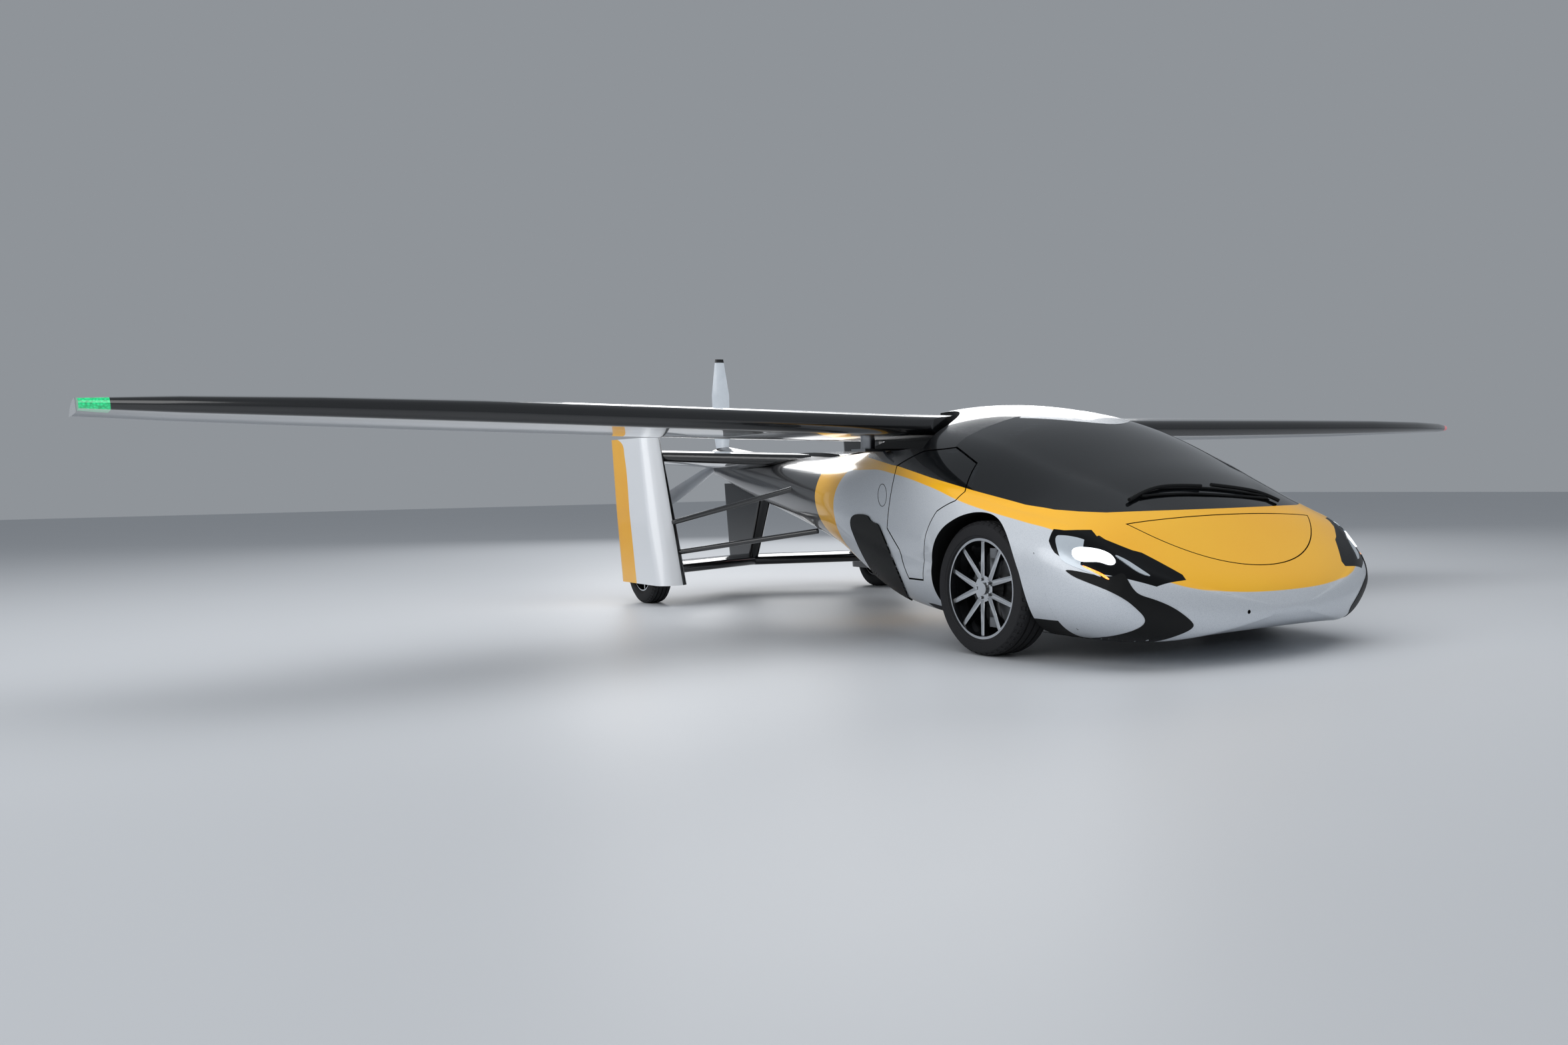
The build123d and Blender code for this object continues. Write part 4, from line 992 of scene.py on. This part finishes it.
seat_piece = place_piece(bm, "seat_cushions", "body", [black_leather], ["seats"])
print("seats", len(seat_piece.data.polygons), "faces")

# %% [markdown]
# ## Studio
# A pale floor, a pale surround and three large soft lights show the lacquer. The panel overhead is kept out
# of reflections, so that the glass and the yellow stay deep. One stands on the near side, and one behind
# parts the dark tail from the background.

# %% Studio
FLOOR_HALF = 40
floor_bm = bmesh.new()
bmesh.ops.create_grid(floor_bm, x_segments=1, y_segments=1, size=FLOOR_HALF)
floor_mesh = bpy.data.meshes.new("studio_floor")
floor_bm.to_mesh(floor_mesh)
floor_bm.free()
floor = bpy.data.objects.new("studio_floor", floor_mesh)
bpy.context.scene.collection.objects.link(floor)
floor_mesh.materials.append(grained("pale_studio_floor", "#C9CCD0", 0.45, 900, 0.0, 0.06))

world = bpy.data.worlds.new("studio_surround")
world.use_nodes = True
world.node_tree.nodes["Background"].inputs["Color"].default_value = linear("#C4CAD1")
world.node_tree.nodes["Background"].inputs["Strength"].default_value = 0.5
bpy.context.scene.world = world

# name, place, aim, width, height, watts
LIGHTS = [
    ("overhead_panel", (0.5, -0.5, 6.0), (0, 0, 0.8), 12, 6, 370),
    ("near_panel", (3.0, -11.0, 6.0), (0.6, 0, 0.5), 16, 7, 650),
    ("back_panel", (-8, 5, 4.5), (-1, 0, 0.8), 8, 4, 320),
]
for name, place, aim, wide, tall, watts in LIGHTS:
    light_data = bpy.data.lights.new(name, "AREA")
    light_data.shape = "RECTANGLE"
    light_data.size = wide
    light_data.size_y = tall
    light_data.energy = watts
    light = bpy.data.objects.new(name, light_data)
    bpy.context.scene.collection.objects.link(light)
    light.location = place
    mirrored_in_lacquer = name != "overhead_panel"
    light.visible_glossy = mirrored_in_lacquer
    light.visible_transmission = mirrored_in_lacquer
    light.rotation_mode = "QUATERNION"
    light.rotation_quaternion = (Vector(aim) - Vector(place)).to_track_quat("-Z", "Y")
bpy.context.scene.view_settings.view_transform = "Standard"
print("studio lit")

# %% Finish
guide.free()
straight.free()
bpy.context.view_layer.update()
